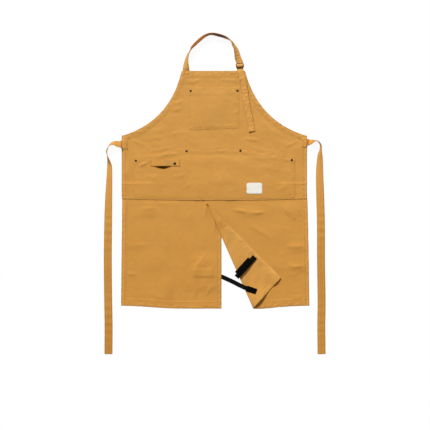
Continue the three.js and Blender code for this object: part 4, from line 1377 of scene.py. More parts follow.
class APRON_OT_pockets(bpy.types.Operator):
    """Lay the chest pocket and the waist pocket on the body"""

    bl_idname = "apron.pockets"
    bl_label = "Pockets"

    def execute(self, context):
        self.lay_chest()
        self.lay_waist()
        return {"FINISHED"}

    def lay_chest(self):
        """Lays the chest pocket."""
        width = CHEST.right - CHEST.left
        height = CHEST.top - CHEST.low
        columns = stations(width, POCKET_BAND, POCKET_BAND, 0.004)
        share, offset = stations(height, POCKET_BAND, CHEST_HEM + PAST_HEM, 0.004)
        up = share + offset / height
        left = lerp(CHEST.left_low, CHEST.left, up)[:, None]
        x = left + (CHEST.right - left) * columns[0] + columns[1]
        low = lerp(CHEST.low, CHEST.low_right, ramp(x, CHEST.left, CHEST.right))
        y = low + (CHEST.top - low) * up[:, None]
        inset = POCKET_ROWS[0]
        rows = []
        for step in POCKET_ROWS:
            left_low = (CHEST.left_low + step, CHEST.low + step)
            left_top = (CHEST.left + step, CHEST.top - inset)
            right_low = (CHEST.right - step, CHEST.low_right + step)
            right_top = (CHEST.right - step, CHEST.top - inset)
            rows += [straight(chest_face, *pair) for pair in
                     ((left_top, left_low), (left_low, right_low), (right_low, right_top))]
        for step in CHEST_MOUTH_ROWS:
            level = CHEST.top - step
            ends = (CHEST.left + inset, level), (CHEST.right - inset, level)
            rows.append(straight(chest_face, *ends))
        pocket_piece("chest_pocket_cloth", "chest_pocket", x, y, chest_under, chest_face, chest_tone, rows)

    def lay_waist(self):
        """Lays the waist pocket."""
        half = WAIST_POCKET.half
        x_line = between(-half, half, stations(2 * half, POCKET_BAND, POCKET_BAND, 0.0045))
        share, offset = stations(0.16, 0.006, MOUTH_HEM + PAST_HEM, 0.0026)
        x = np.broadcast_to(x_line, (len(share), len(x_line)))
        low = body_low(x) + WAIST_POCKET.seam
        top = pocket_top(x)
        y = low + (top - low) * share[:, None] + offset[:, None]
        rows = []
        for step in POCKET_ROWS:
            for side in (-1, 1):
                line = side * (half - step)
                low_end = (line, float(body_low(line)) + WAIST_POCKET.seam + 0.004)
                rows.append(straight(pocket_face, low_end, (line, float(pocket_top(line)) - SHORT_END)))
        seam_x = np.linspace(SHORT_END - half, half - SHORT_END, 200)
        rows += rows_beside(pocket_face, seam_x, pocket_top, [-inset for inset in MOUTH_ROWS])
        for side in (-1, 1):
            rows += tack(pocket_face, side * MOUTH_TACK[0], *MOUTH_TACK[1:])
        pocket_piece("waist_pocket_cloth", "waist_pocket", x, y, pocket_under, pocket_face, pocket_tone,
                     rows)


# Skirts


def hem_line(x):
    """Height of the skirts' hems in plan."""
    outer = np.where(x < 0, -LEFT_OUTER[1], RIGHT_OUTER[1])
    return lerp(HEM_MIDDLE, HEM_OUTER, soft_ramp(np.abs(x), HEM_CURVE_FROM, outer))


def left_edges(x, y):
    """Distances to the left skirt's outer edge, inner edge and hem."""
    down = ramp(y, SKIRT_TOP, HEM_MIDDLE)
    return x - lerp(*LEFT_OUTER, down), LEFT_INNER - x, y - hem_line(x)


def patch(x, y):
    """The raised place where the left leg strap is sewn on behind."""
    across = span_share(x, *STRAP_PATCH.x, STRAP_PATCH.soft)
    return STRAP_PATCH.high * (across * span_share(y, *STRAP_PATCH.y, STRAP_PATCH.soft))


def left_under(x, y):
    """Height of the left skirt's underside."""
    beside = soft_ramp(x, *STRAP_SWELL.x)
    level = np.minimum(soft_ramp(y, *STRAP_SWELL.top), soft_ramp(y, *STRAP_SWELL.low))
    lift = STRAP_SWELL.high * beside * level + patch(x, y)
    return lift + fold_height(LEFT_FOLDS, x, y) + laid_unevenness(x, y, 51) * soft_ramp(y, *SKIRT_LOOSE)


def left_face(x, y):
    """Height of the left skirt's front."""
    outer, inner, low = left_edges(x, y)
    hems = np.maximum(np.maximum(hem(outer, SIDE_HEM), hem(inner, SIDE_HEM)), hem(low, SKIRT_HEM))
    relief = seam_relief(outer, SKIRT_SIDE_ROWS, x, y, 52) + seam_relief(inner, SKIRT_INNER_ROWS, x, y, 53)
    relief += seam_relief(low, SKIRT_HEM_ROWS, x, y, 54)
    visible = soft_ramp(y, *SKIRT_SHOWS)
    return left_under(x, y) + WALL + (sizes().hem_rise * hems + relief) * visible


def left_tone(x, y):
    """Tone of the left skirt: dye and painted shade along its seams."""
    outer, inner, low = left_edges(x, y)
    tone = seam_tone(outer, SKIRT_SIDE_ROWS, x, y, 55) + seam_tone(inner, SKIRT_INNER_ROWS, x, y, 56)
    return tone + seam_tone(low, SKIRT_HEM_ROWS, x, y, 57)


def turn_line(y):
    """Where the right skirt starts to turn back on a row."""
    return TURN_START[0] + math.tan(TURN_ANGLE) * np.maximum(0, TURN_START[1] - y)


def turn_amount(y):
    """Angle that the corner turns through on a row."""
    return math.pi * soft_ramp(TURN_START[1] - y, 0, TURN_CLOSED)


def right_floor(x, y):
    """Height of what the right skirt lies on: the left skirt near the slit, or the surface."""
    over = soft_ramp(x, *RIGHT_CLIMB)
    return over * (LAYER + fold_height(LEFT_FOLDS, x, y))


def flap_level(aside, row):
    """Height of the turned-back corner's face over the panel, beside the bend, on a row."""
    touching = 2 * WALL + FLAP_GAP
    settled = lerp(2 * TURN_RADIUS, touching, soft_ramp(aside, *TURN_SETTLE))
    open_hem = sum(high * swell((aside - middle) / half) for middle, half, high in HEM_WAVES)
    return settled + open_hem * soft_ramp(row, *HEM_OPEN)


def flap_top(x, y):
    """Height of the corner's face at a point in plan."""
    run = x - turn_line(y)
    row = y - math.sin(2 * TURN_ANGLE) * run
    return right_floor(x, y) + flap_level(np.maximum(0, run * TURN_COS), row)


def flap_width(row):
    """Width of the turned-back corner on a row."""
    inner = RIGHT_INNER + RIGHT_INNER_LEAN * np.maximum(0, TURN_START[1] - row)
    return (turn_line(row) - inner) * TURN_COS


def flap_point(run, row, thick):
    """A point of the turned-back corner: distance from the bend's start, row, and depth in the cloth."""
    amount = turn_amount(row)
    bend = np.minimum(run / TURN_RADIUS, amount)
    beyond = run - bend * TURN_RADIUS
    aside = -TURN_RADIUS * np.sin(bend) - beyond * np.cos(bend)
    height = TURN_RADIUS * (1 - np.cos(bend)) + beyond * np.sin(bend)
    closed = ((amount / math.pi) * (bend / math.pi)) ** TURN_SHARPNESS
    lying = lerp(height, flap_level(np.maximum(0, aside), row), closed)
    back = run * math.tan(TURN_ANGLE)
    reach = aside + thick * np.sin(bend)
    start = turn_line(row)
    x = start - back * TURN_SIN + reach * TURN_COS
    y = row + back * TURN_COS + reach * TURN_SIN
    floor = lerp(right_floor(start, row), right_floor(x, y), closed)
    return joined(x, y, floor + lying + thick * np.cos(bend))


def flap_relief(run, row):
    """Extra thickness of the corner's hems on the reverse, with its stitch grooves and puckers."""
    inner = flap_width(row) - run
    low = row - HEM_INNER
    hems = np.maximum(hem(inner, SIDE_HEM), 0.5 * hem(low, SKIRT_HEM))
    relief = 2.0 * seam_relief(inner, SKIRT_INNER_ROWS, run, row, 61)
    relief += 0.7 * seam_relief(low, SKIRT_HEM_ROWS, run, row, 62)
    loose = soft_ramp(TURN_START[1] - row, TURN_CLOSED, 3 * TURN_CLOSED)
    loose = loose * soft_ramp(run, 2.2 * TURN_RADIUS, 5 * TURN_RADIUS)
    full = sizes().hem_rise * hems + relief + FLAP_LUMPS.high * rumple(run, row, FLAP_LUMPS.size, 63)
    thin = 1 - soft_ramp(inner, 0, FLAP_THIN.reach)
    shaped = lerp(full, -FLAP_THIN.loss * WALL, thin)
    return loose * np.maximum(shaped, LEAST_WALL - WALL)


def flap_tone(run, row):
    """Dye of the reverse: a little faded lower down, and more on the band by the free edge and its ridges."""
    inner = flap_width(row) - run
    ridges = sum(crest(inner - place, FLAP_RIDGE_REACH) for place in FLAP_RIDGES)
    blotchy = 1 + FLAP_BLOTCHES.share * rumple(run, row, FLAP_BLOTCHES.size, 64)
    edge = FLAP_DYE.band * soft_ramp(inner, *FLAP_BAND) + FLAP_DYE.ridge * ridges
    faded = FLAP_DYE.plain + edge * blotchy
    faded -= FLAP_DYE.deeper * soft_ramp(row, *FLAP_DEEPER)
    hem_tone = 0.4 * seam_tone(row - HEM_INNER, SKIRT_HEM_ROWS, run, row, 65)
    return faded * soft_ramp(run, 0, 2 * TURN_RADIUS) + hem_tone


def flap_clear(x, y):
    """0 on the panel under the turned-back corner, 1 beyond its free edge and hem."""
    aside = (x - turn_line(y)) * TURN_COS
    bend = math.pi * TURN_RADIUS
    row = y - TURN_SIN * (2 * aside + bend)
    beyond = np.maximum(aside + bend - flap_width(row), HEM_INNER - row)
    return soft_ramp(beyond, *FLAP_BEYOND.edge) * soft_ramp(aside, *FLAP_BEYOND.bend)


def right_edges(x, y):
    """Distances to the right skirt's outer edge and hem."""
    down = ramp(y, SKIRT_TOP, HEM_INNER)
    return lerp(*RIGHT_OUTER, np.sqrt(down)) - x, y - hem_line(x)


def right_under(x, y):
    """Height of the right skirt's underside."""
    laid = laid_unevenness(x, y, 71) * soft_ramp(y, *SKIRT_LOOSE)
    return right_floor(x, y) + (fold_height(RIGHT_FOLDS, x, y) + laid) * flap_clear(x, y)


def right_face(x, y):
    """Height of the right skirt's front."""
    outer, low = right_edges(x, y)
    hems = np.maximum(hem(outer, SIDE_HEM), hem(low, SKIRT_HEM))
    relief = seam_relief(outer, SKIRT_SIDE_ROWS, x, y, 72) + seam_relief(low, SKIRT_HEM_ROWS, x, y, 73)
    visible = soft_ramp(y, *SKIRT_SHOWS) * flap_clear(x, y)
    return right_under(x, y) + WALL + (sizes().hem_rise * hems + relief) * visible


def right_tone(x, y):
    """Tone of the right skirt's front: dye and painted shade along its seams."""
    outer, low = right_edges(x, y)
    return seam_tone(outer, SKIRT_SIDE_ROWS, x, y, 74) + seam_tone(low, SKIRT_HEM_ROWS, x, y, 75)


class APRON_OT_skirts(bpy.types.Operator):
    """Lay out the two leg panels, the right one with its corner turned back"""

    bl_idname = "apron.skirts"
    bl_label = "Leg panels"

    def execute(self, context):
        self.lay_left()
        self.lay_right()
        return {"FINISHED"}

    def lay_left(self):
        """Lays the left skirt."""
        columns = stations(LEFT_INNER - LEFT_OUTER[1])
        share, offset = stations(SKIRT_TOP - HEM_MIDDLE, SKIRT_HEM + PAST_HEM, 0.012)
        up = share + offset / (SKIRT_TOP - HEM_MIDDLE)
        outer = lerp(LEFT_OUTER[1], LEFT_OUTER[0], up)[:, None]
        x = between(outer, LEFT_INNER, columns)
        y = lerp(hem_line(x), SKIRT_TOP, up[:, None])
        piece = laid_cloth("left_leg_panel", x, y, left_under, left_face, left_tone)
        finish_piece(piece, canvas_material(), "canvas", "skirt_left")
        rows = []
        for inset in SKIRT_SIDE_ROWS:
            top = (LEFT_OUTER[0] + inset, SKIRT_ROW_TOP)
            rows.append(straight(left_face, top, (LEFT_OUTER[1] + inset, HEM_OUTER + inset)))
        for inset in SKIRT_INNER_ROWS:
            line = LEFT_INNER - inset
            rows.append(straight(left_face, (line, LEFT_ROW_TOP), (line, HEM_MIDDLE + ROW_END)))
        hem_x = np.linspace(LEFT_OUTER[1] + ROW_END, LEFT_INNER - ROW_END, 150)
        rows += rows_beside(left_face, hem_x, hem_line, SKIRT_HEM_ROWS)
        rows += boxed(left_face, *STRAP_PATCH.x, *STRAP_PATCH.y)
        stitches = sew("left_leg_panel_stitches", rows)

    def lay_right(self):
        """Lays the right skirt, its panel and turned-back corner in one grid."""
        top_rows = np.linspace(SKIRT_TOP, TURN_START[1], 24)
        turn_rows = np.linspace(TURN_START[1], TURN_START[1] - 2 * TURN_CLOSED, 44)
        hem_rows = np.arange(0, SKIRT_HEM + PAST_HEM, FINE)
        plain = np.linspace(turn_rows[-1], HEM_INNER + hem_rows[-1], 76)
        rows = np.concatenate([HEM_INNER + hem_rows[:-1], plain[::-1], turn_rows[-2::-1], top_rows[-2::-1]])
        row = rows[:, None]
        width = flap_width(row)
        arc = np.minimum(math.pi * TURN_RADIUS, 0.45 * width)
        flap_share = np.linspace(0, 1, 13)[1:]
        free_share, free_offset = stations(0.12, 0.0015, BAND, 0.004)
        free = arc + (width - arc) * np.clip(free_share + free_offset / 0.12, 0, 1)[1:]
        run = np.concatenate([arc * flap_share, free], axis=1)[:, ::-1]
        grid_row = np.broadcast_to(row, run.shape)
        relief = flap_relief(run, grid_row)
        flap_low = flap_point(run, grid_row, -relief)
        flap_high = flap_point(run, grid_row, np.full(run.shape, WALL))
        up = ramp(rows, HEM_INNER, SKIRT_TOP)[:, None]
        outer = lerp(RIGHT_OUTER[0], RIGHT_OUTER[1], np.sqrt(1 - up))
        x = between(turn_line(row), outer, stations(0.33, 0.012, BAND))
        shift = soft_ramp(x, turn_line(row), turn_line(row) + 0.1)
        y = lerp(grid_row[:, :1] + 0 * x, lerp(hem_line(x), SKIRT_TOP, up), shift)
        low = np.concatenate([flap_low, joined(x, y, right_under(x, y))], axis=1)
        high = np.concatenate([flap_high, joined(x, y, right_face(x, y))], axis=1)
        weave_x = np.concatenate([turn_line(row) - run / TURN_COS, x], axis=1)
        weave_y = np.concatenate([grid_row, y], axis=1)
        tone = np.concatenate([flap_tone(run, grid_row), right_tone(x, y)], axis=1)
        piece = wall_object("right_leg_panel", low, high, joined(weave_x, weave_y), tone)
        finish_piece(piece, canvas_material(), "canvas", "skirt_right")
        stitches = sew("right_leg_panel_stitches", self.right_stitches())

    def right_stitches(self):
        """Rows on the panel's outer edge and hem, and on the reverse of the turned-back corner."""
        rows = []
        side_y = np.linspace(SKIRT_ROW_TOP, HEM_OUTER + ROW_END, 120)
        down = ramp(side_y, SKIRT_TOP, HEM_INNER)
        for inset in SKIRT_SIDE_ROWS:
            rows.append(on_face(right_face, lerp(*RIGHT_OUTER, np.sqrt(down)) - inset, side_y))
        hem_x = np.linspace(float(turn_line(HEM_INNER)) + 0.006, RIGHT_OUTER[1] - ROW_END, 90)
        rows += rows_beside(right_face, hem_x, hem_line, SKIRT_HEM_ROWS)
        free_rows = np.linspace(TURN_START[1] - 2 * TURN_CLOSED, HEM_INNER + ROW_END, 120)
        for inset in SKIRT_INNER_ROWS:
            rows.append(self.on_flap(flap_width(free_rows) - inset, free_rows))
        for inset in SKIRT_HEM_ROWS:
            run = np.linspace(0.016, float(flap_width(HEM_INNER + inset)) - ROW_END, 40)
            rows.append(self.on_flap(run, np.full(40, HEM_INNER + inset)))
        return rows

    def on_flap(self, run, row):
        """A line on the reverse of the turned-back corner."""
        points = flap_point(run, row, -flap_relief(run, row))
        ups = points - flap_point(run, row, np.full(np.shape(run), WALL))
        return points, unit(ups)


# Straps


def spline(points, per_span):
    """A smooth line through points, with even steps on each span."""
    points = np.asarray(points, float)
    first, last = 2 * points[0] - points[1], 2 * points[-1] - points[-2]
    padded = np.concatenate([[first], points, [last]])
    made = []
    share = (np.arange(per_span) / per_span)[:, None]
    for a, b, c, d in zip(padded[:-3], padded[1:-2], padded[2:-1], padded[3:]):
        bend = (2 * a - 5 * b + 4 * c - d) * share**2 + (3 * b - a - 3 * c + d) * share**3
        made.append(0.5 * (2 * b + (c - a) * share + bend))
    return np.concatenate([*made, points[-1:]])


def strap_sections(route, width, wall, ripple=None):
    """Middles, directions across, faces and tones of a strap, its lower edge at the route's height."""
    line = spline(route, 24)
    roll = np.radians(line[:, 3])
    rise = np.maximum(0, line[:, 2])
    plan = joined(line[:, 0], line[:, 1], 0)
    if ripple is not None:
        rise = np.maximum(rise, ripple(plan))
    half = (width * np.abs(np.sin(roll)) + wall * np.abs(np.cos(roll))) / 2
    middle = plan + joined(0, 0, rise + half)
    along = distances_along(middle)
    places = np.linspace(0, along[-1], max(8, round(along[-1] / STRAP_STEP)) + 1)
    middle = read_along(places, along, middle)
    roll = np.interp(places, along, roll)[:, None]
    tone = np.interp(places, along, line[:, 4])
    run = unit(np.gradient(middle, axis=0))
    aside = unit(joined(run[:, 1], -run[:, 0], 0))
    up = np.cross(aside, run)
    across = aside * np.cos(roll) + up * np.sin(roll)
    return middle, across, np.cross(across, run), tone


def ribbon(name, sections, width, wall, profile=None, lumps=None):
    """A flat strap through sections; profile gives its thickness across, and lumps its unevenness in plan."""
    middle, across, face, tone = sections
    share = np.linspace(-0.5, 0.5, STRAP_COLUMNS + 1)
    thick = np.ones(len(share)) if profile is None else profile(share)
    length = distances_along(middle)
    flat = middle[:, None, :] + across[:, None, :] * (share * width)[None, :, None]
    if lumps is not None:
        flat = flat + face[:, None, :] * lumps(flat[..., 0], flat[..., 1])[..., None]
    lift = face[:, None, :] * (thick * wall / 2)[None, :, None]
    weave = joined((share * width)[None, :], length[:, None])
    edge = np.broadcast_to((0.5 - np.abs(share)) * width, weave.shape[:2])
    seams = 0.5 * seam_tone(edge, (STRAP_INSET,), weave[..., 0], weave[..., 1], 91)
    # Painted light at a strap's edges: its darker tone eased there, more on the left of its run
    strength, reach = np.where(share < 0, np.array(EDGE_PAINTED_LIGHT_LEFT)[:, None], np.array(EDGE_PAINTED_LIGHT_RIGHT)[:, None])
    rubbed = strength * crest(edge, reach)
    dye = np.where(tone[:, None] < 0, tone[:, None] * (1 - rubbed), tone[:, None])
    return wall_object(name, flat - lift, flat + lift, weave, dye + seams)


def sewn_profile(share):
    """Thickness of a folded strap that is stitched along both edges."""
    edge = 0.5 - np.abs(share)
    return 1 - 0.28 * crest(edge - 0.10, 0.045) - 0.15 * crest(edge, 0.02)


def strap_rows(sections, width, wall, lumps):
    """Stitch rows along both edges of a strap, on both faces."""
    middle, across, face, _ = sections
    rows = []
    for side in (-1, 1):
        for facing in (-1, 1):
            points = middle + across * side * (width / 2 - STRAP_INSET) + face * facing * wall * 0.42
            if lumps is not None:
                points = points + face * lumps(points[:, 0], points[:, 1])[:, None]
            rows.append((points, face * facing))
    return rows


def strap_piece(name, node, sections, width, wall, lumps=None):
    """A sewn canvas strap with its stitches."""
    piece = ribbon(name, sections, width, wall, sewn_profile, lumps)
    finish_piece(piece, canvas_material(), "canvas", node)
    stitches = sew(name + "_stitches", strap_rows(sections, width, wall, lumps))


def uneven(plan, length, seed):
    """Uneven ripples of 0 to about 1 across a strap, with that length from one to the next."""
    along = distances_along(plan)
    draw = np.random.default_rng(seed)
    drift = np.sin(along / (2.3 * length) + draw.uniform(0, math.tau))
    wave = np.sin(math.tau * along / length + 2.2 * drift)
    size = 0.55 + 0.45 * np.sin(along / (1.6 * length) + draw.uniform(0, math.tau))
    return (0.5 + 0.5 * wave) * size * sizes().wrinkle


def neck_level(plan):
    """Height that the neck strap keeps above: the body under its tail, and puckers above its slider."""
    x, y = plan[:, 0], plan[:, 1]
    under = np.max([body_face(x + step, y) for step in (-0.010, -0.005, 0, 0.005, 0.010)], axis=0)
    tail = (y < BIB_TOP) & (x > TAIL_SIDE)
    above = soft_ramp(y, *NECK_PUCKERS.low) * soft_ramp(y, *NECK_PUCKERS.top) * (x > TAIL_SIDE)
    puckers = NECK_PUCKERS.high * above * uneven(plan, NECK_PUCKERS.length, 82)
    return np.where(tail, under + REST, puckers)


def tail_lumps(x, y):
    """Unevenness of the neck strap's loose tail."""
    tail = soft_ramp(y, *TAIL_LUMPS.y) * (x > TAIL_SIDE)
    lumps = np.maximum(0, 0.6 + 0.7 * rumple(x, y, TAIL_LUMPS.size, 81))
    return TAIL_LUMPS.high * tail * lumps * sizes().wrinkle


def tie_ripples(plan):
    """Slight ripples of a waist tie where it lies flat."""
    flat = soft_ramp(plan[:, 1], *TIE_RIPPLES.y)
    return TIE_RIPPLES.high * flat * uneven(plan, TIE_RIPPLES.length, 83)


class APRON_OT_neck_strap(bpy.types.Operator):
    """Lay the neck strap, its hidden tab and the metal slider"""

    bl_idname = "apron.neck_strap"
    bl_label = "Neck strap"

    def execute(self, context):
        turn = math.radians(SLIDER.turn)
        weave = [
            (SLIDER.x - before * math.sin(turn), SLIDER.y + before * math.cos(turn), rise, 0, 0)
            for before, rise in WEAVE_ROUTE
        ]
        route = [*LOOP_ROUTE, *weave, *TAIL_ROUTE]
        sections = strap_sections(route, NECK_WIDTH, NECK_WALL, neck_level)
        strap_piece("neck_strap_cloth", "neck_strap", sections, NECK_WIDTH, NECK_WALL,
                    tail_lumps)
        sections = self.tab_sections(turn)
        tab = ribbon("strap_tab", sections, NECK_WIDTH, ANCHOR.wall)
        finish_piece(tab, canvas_material(), "canvas", "strap_anchor")
        self.slider(turn)
        return {"FINISHED"}

    def tab_sections(self, turn):
        """The tab: flat out of the bib's corner, then up and round the slider's middle bar."""
        radius = ANCHOR.inner + ANCHOR.wall / 2
        flat = REST + ANCHOR.wall / 2
        angle = np.radians(np.linspace(*ANCHOR.turns, 20))
        wrap = joined(radius * np.cos(angle), SLIDER.z + radius * np.sin(angle))
        start = [(ANCHOR.start - SLIDER.y, flat), (ANCHOR.flat_to - SLIDER.y, flat)]
        points = np.concatenate([start, [(-0.003, SLIDER.z - radius - 0.0004)], wrap])
        run = unit(np.gradient(points, axis=0))
        cos, sin = math.cos(turn), math.sin(turn)
        x, y = SLIDER.x - points[:, 0] * sin, SLIDER.y + points[:, 0] * cos
        middle = joined(x, y, points[:, 1])
        across = np.tile([cos, sin, 0], (len(points), 1))
        way = joined(-run[:, 0] * sin, run[:, 0] * cos, run[:, 1])
        return middle, across, np.cross(across, way), np.zeros(len(points))

    def slider(self, turn):
        """The three-bar slider, cut from a rounded plate with soft edges."""
        width, height, bar = SLIDER.width, SLIDER.height, SLIDER_BARS.across
        plate = bpy.data.curves.new("slider", "CURVE")
        plate.dimensions = "2D"
        plate.fill_mode = "BOTH"
        plate.bevel_depth = SLIDER_PLATE.edge
        plate.bevel_resolution = 3
        plate.extrude = SLIDER_PLATE.flat
        edge = plate.bevel_depth
        inner_half = width / 2 - SLIDER_BARS.end + edge
        half_width, half_height = width / 2 - edge, height / 2 - edge
        rounded_loop(plate, -half_width, -half_height, half_width, half_height, SLIDER_CORNERS.outer)
        for low, top in (
            (bar / 2 - edge, height / 2 - bar + edge),
            (bar - edge - height / 2, edge - bar / 2),
        ):
            rounded_loop(plate, -inner_half, low, inner_half, top, SLIDER_CORNERS.inner)
        outline = bpy.data.objects.new("slider_outline", plate)
        bpy.context.scene.collection.objects.link(outline)
        mesh = bpy.data.meshes.new_from_object(outline.evaluated_get(bpy.context.evaluated_depsgraph_get()))
        bpy.data.objects.remove(outline)
        points = np.array([v.co for v in mesh.vertices])
        faces = [list(p.vertices) for p in mesh.polygons]
        points, faces = merged(points, faces)
        cos, sin = math.cos(turn), math.sin(turn)
        x = SLIDER.x + points[:, 0] * cos - points[:, 1] * sin
        y = SLIDER.y + points[:, 0] * sin + points[:, 1] * cos
        piece = mesh_object("slider", joined(x, y, SLIDER.z + points[:, 2]), faces)
        finish_piece(piece, metal_material(), "antique_metal", "strap_slider")


def rounded_outline(left, low, right, top, corner):
    """Plan points of a rounded rectangle."""
    points = []
    for centre_x, centre_y, start in (
        (right - corner, low + corner, -90),
        (right - corner, top - corner, 0),
        (left + corner, top - corner, 90),
        (left + corner, low + corner, 180),
    ):
        for k in range(9):
            angle = math.radians(start + 90 * k / 8)
            points.append((centre_x + corner * math.cos(angle), centre_y + corner * math.sin(angle)))
    return points


def rounded_loop(curve, left, low, right, top, corner):
    """Adds a rounded rectangle to a flat curve."""
    points = rounded_outline(left, low, right, top, corner)
    loop = curve.splines.new("POLY")
    loop.points.add(len(points) - 1)
    loop.use_cyclic_u = True
    for point, (x, y) in zip(loop.points, points):
        point.co = (x, y, 0, 1)


def merged(points, faces, within=1e-6):
    """Joins points that lie on each other, and drops the faces that vanish."""
    keys = np.round(points / within).astype(np.int64)
    _, first, number = np.unique(keys, axis=0, return_index=True, return_inverse=True)
    number = number.ravel()
    kept = []
    for face in faces:
        corners = list(dict.fromkeys(int(number[v]) for v in face))
        if len(corners) > 2:
            kept.append(corners)
    return points[first], kept


class APRON_OT_ties(bpy.types.Operator):
    """Lay the two waist ties, which stand on edge beside the waist"""

    bl_idname = "apron.ties"
    bl_label = "Waist ties"

    def execute(self, context):
        for name, node, route in (
            ("left_tie", "waist_tie_left", LEFT_TIE_ROUTE),
            ("right_tie", "waist_tie_right", RIGHT_TIE_ROUTE),
        ):
            sections = strap_sections(route, TIE_WIDTH, TIE_WALL, tie_ripples)
            strap_piece(name, node, sections, TIE_WIDTH, TIE_WALL)
        return {"FINISHED"}


# Towel loop and label


def loop_sections():
    """Sections of the towel loop: flat at both ends and bowed between them, with painted light on its
    downhill slope and its tone darker at its sewn ends.
    """
    x = np.linspace(LOOP.left, LOOP.right, 60)
    y = np.full(len(x), LOOP.y)
    base = float(np.max(pocket_face(x, y))) + REST + LOOP.wall / 2
    bowed = ramp(x, LOOP_BOW.left, LOOP_BOW.right)
    middle = joined(x, y, base + LOOP_BOW.high * np.sin(bowed * math.pi) ** 2)
    run = unit(np.gradient(middle, axis=0))
    across = np.tile([0.0, -1.0, 0.0], (len(x), 1))
    # Painted light: the slope that falls away to the right is made paler, against the shade it gets
    painted_light_downhill = np.clip(-run[:, 2], -0.2, 0.5)
    from_end = np.minimum(x - LOOP.left, LOOP.right - x)
    tone = 0.9 * painted_light_downhill + LOOP_ENDS.tone * crest(from_end, LOOP_ENDS.reach)
    return middle, across, np.cross(across, run), tone


def loop_face(x, y):
    """Height of the towel loop's face."""
    middle = loop_sections()[0]
    return np.interp(x, middle[:, 0], middle[:, 2]) + LOOP.wall / 2 + 0 * y


class APRON_OT_towel_loop(bpy.types.Operator):
    """Lay the towel loop on the waist pocket"""

    bl_idname = "apron.towel_loop"
    bl_label = "Towel loop"

    def execute(self, context):
        sections = loop_sections()
        strap_piece("towel_loop_cloth", "towel_loop", sections, LOOP.width, LOOP.wall)
        return {"FINISHED"}


class APRON_OT_label(bpy.types.Operator):
    """Lay the plain woven label on the waist pocket"""

    bl_idname = "apron.label"
    bl_label = "Label"

    def execute(self, context):
        low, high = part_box("label")
        ends = ((low.x, high.x), (low.y, high.y))
        x, y = np.meshgrid(*(between(a, b, stations(b - a, 0.006, 0.006, 0.002)) for a, b in ends))
        middle, half = (low + high) / 2, (high - low) / 2
        from_end = np.clip(LABEL_CORNER - (half.y - np.abs(y - middle.y)), 0, LABEL_CORNER)
        narrowed = LABEL_CORNER - np.sqrt(LABEL_CORNER**2 - from_end**2)
        x = middle.x + (x - middle.x) * (1 - narrowed / half.x)

        def label_edges(x, y):
            out_x = np.abs(x - middle.x) - half.x + LABEL_CORNER
            out_y = np.abs(y - middle.y) - half.y + LABEL_CORNER
            past = np.hypot(np.maximum(out_x, 0), np.maximum(out_y, 0))
            return LABEL_CORNER - past - np.minimum(np.maximum(out_x, out_y), 0)

        def label_under(x, y):
            return pocket_face(x, y) + REST

        def label_face(x, y):
            edge = label_edges(x, y)
            groove = 0.00035 * crest(edge - LABEL_INSET, 0.001)
            return label_under(x, y) + LABEL_WALL * (0.75 + 0.25 * soft_ramp(edge, 0, 0.001)) - groove

        piece = laid_cloth("woven_label", x, y, label_under, label_face)
        finish_piece(piece, label_material(), "label", "label")
        inset = LABEL_INSET
        corners = rounded_outline(low.x + inset, low.y + inset, high.x - inset, high.y - inset,
                                  LABEL_CORNER - inset)
        rows = [straight(label_face, a, b, 0.002) for a, b in zip(corners, corners[1:] + corners[:1])]
        seam = tuple(np.concatenate(parts) for parts in zip(*rows))
        stitches = sew("woven_label_stitches", [seam], label_thread_material())
        return {"FINISHED"}


# Leg straps


def left_web_rise(x, y):
    """Height of the left leg strap: along the surface, then up over the turned-back corner."""
    aside = (x - turn_line(y)) * TURN_COS
    return soft_ramp(aside, *WEB_CLIMB) * (flap_top(x, y) + WEB_CLEAR)


def flap_route(start, end, offset, above):
    """A route along a row of the turned-back corner."""
    first = float(turn_line(RIGHT_WEB.row))
    run = np.linspace(end, start, RIGHT_WEB.steps + 1)
    cos, sin = math.cos(2 * TURN_ANGLE), math.sin(2 * TURN_ANGLE)
    x = first + run * cos - offset * sin
    y = RIGHT_WEB.row + run * sin + offset * cos
    lift = lerp(*RIGHT_WEB_LIFT, soft_ramp(run, RIGHT_WEB.end, RIGHT_WEB.start))
    return level_route(x, y, flap_top(x, y) + WEB_CLEAR + above + lift)


def level_route(x, y, rise):
    """A strap route that lies level across, with plain dye."""
    return joined(x, y, rise, 0, 0)


class APRON_OT_leg_straps(bpy.types.Operator):
    """Lay the black leg straps and their fastener pads"""

    bl_idname = "apron.leg_straps"
    bl_label = "Leg straps"

    def execute(self, context):
        plan = np.array(LEFT_WEB_ROUTE)
        left = level_route(plan[:, 0], plan[:, 1], left_web_rise(plan[:, 0], plan[:, 1]))
        pad_x = np.linspace(*LEFT_PAD, 5)
        pad_y = np.interp(pad_x, [plan[-3, 0], plan[-1, 0] + 0.002], [plan[-3, 1], plan[-1, 1] - 0.0009])
        over_web = WEB_WALL + PAD_CLEAR
        left_pad = level_route(pad_x, pad_y, left_web_rise(pad_x, pad_y) + over_web)
        right = flap_route(RIGHT_WEB.start, RIGHT_WEB.end, 0, 0)
        right_pad = flap_route(RIGHT_PAD.start, RIGHT_PAD.end, RIGHT_PAD.offset, over_web)
        rests = ["right_leg_panel"]
        for name, node, route, width, rests_on in (
            ("left_web", "leg_strap_left", left, WEB_WIDTH, ["floor", *rests]),
            ("right_web", "leg_strap_right", right, RIGHT_WEB.width, rests),
            ("left_pad", "leg_pad_left", left_pad, PAD_WIDTH, ["left_web"]),
            ("right_pad", "leg_pad_right", right_pad, RIGHT_PAD.width, ["right_web"]),
        ):
            sections = strap_sections(route, width, WEB_WALL)
            piece = ribbon(name, sections, width, WEB_WALL, web_profile)
            material = hook_material() if "pad" in name else webbing_material()
            finish_piece(piece, material, "webbing", node)
        return {"FINISHED"}


def web_profile(share):
    """Thickness of webbing, fullest along its edges."""
    edge = 0.5 - np.abs(share)
    return 0.82 + 0.18 * crest(edge, 0.09)


# Metal trims


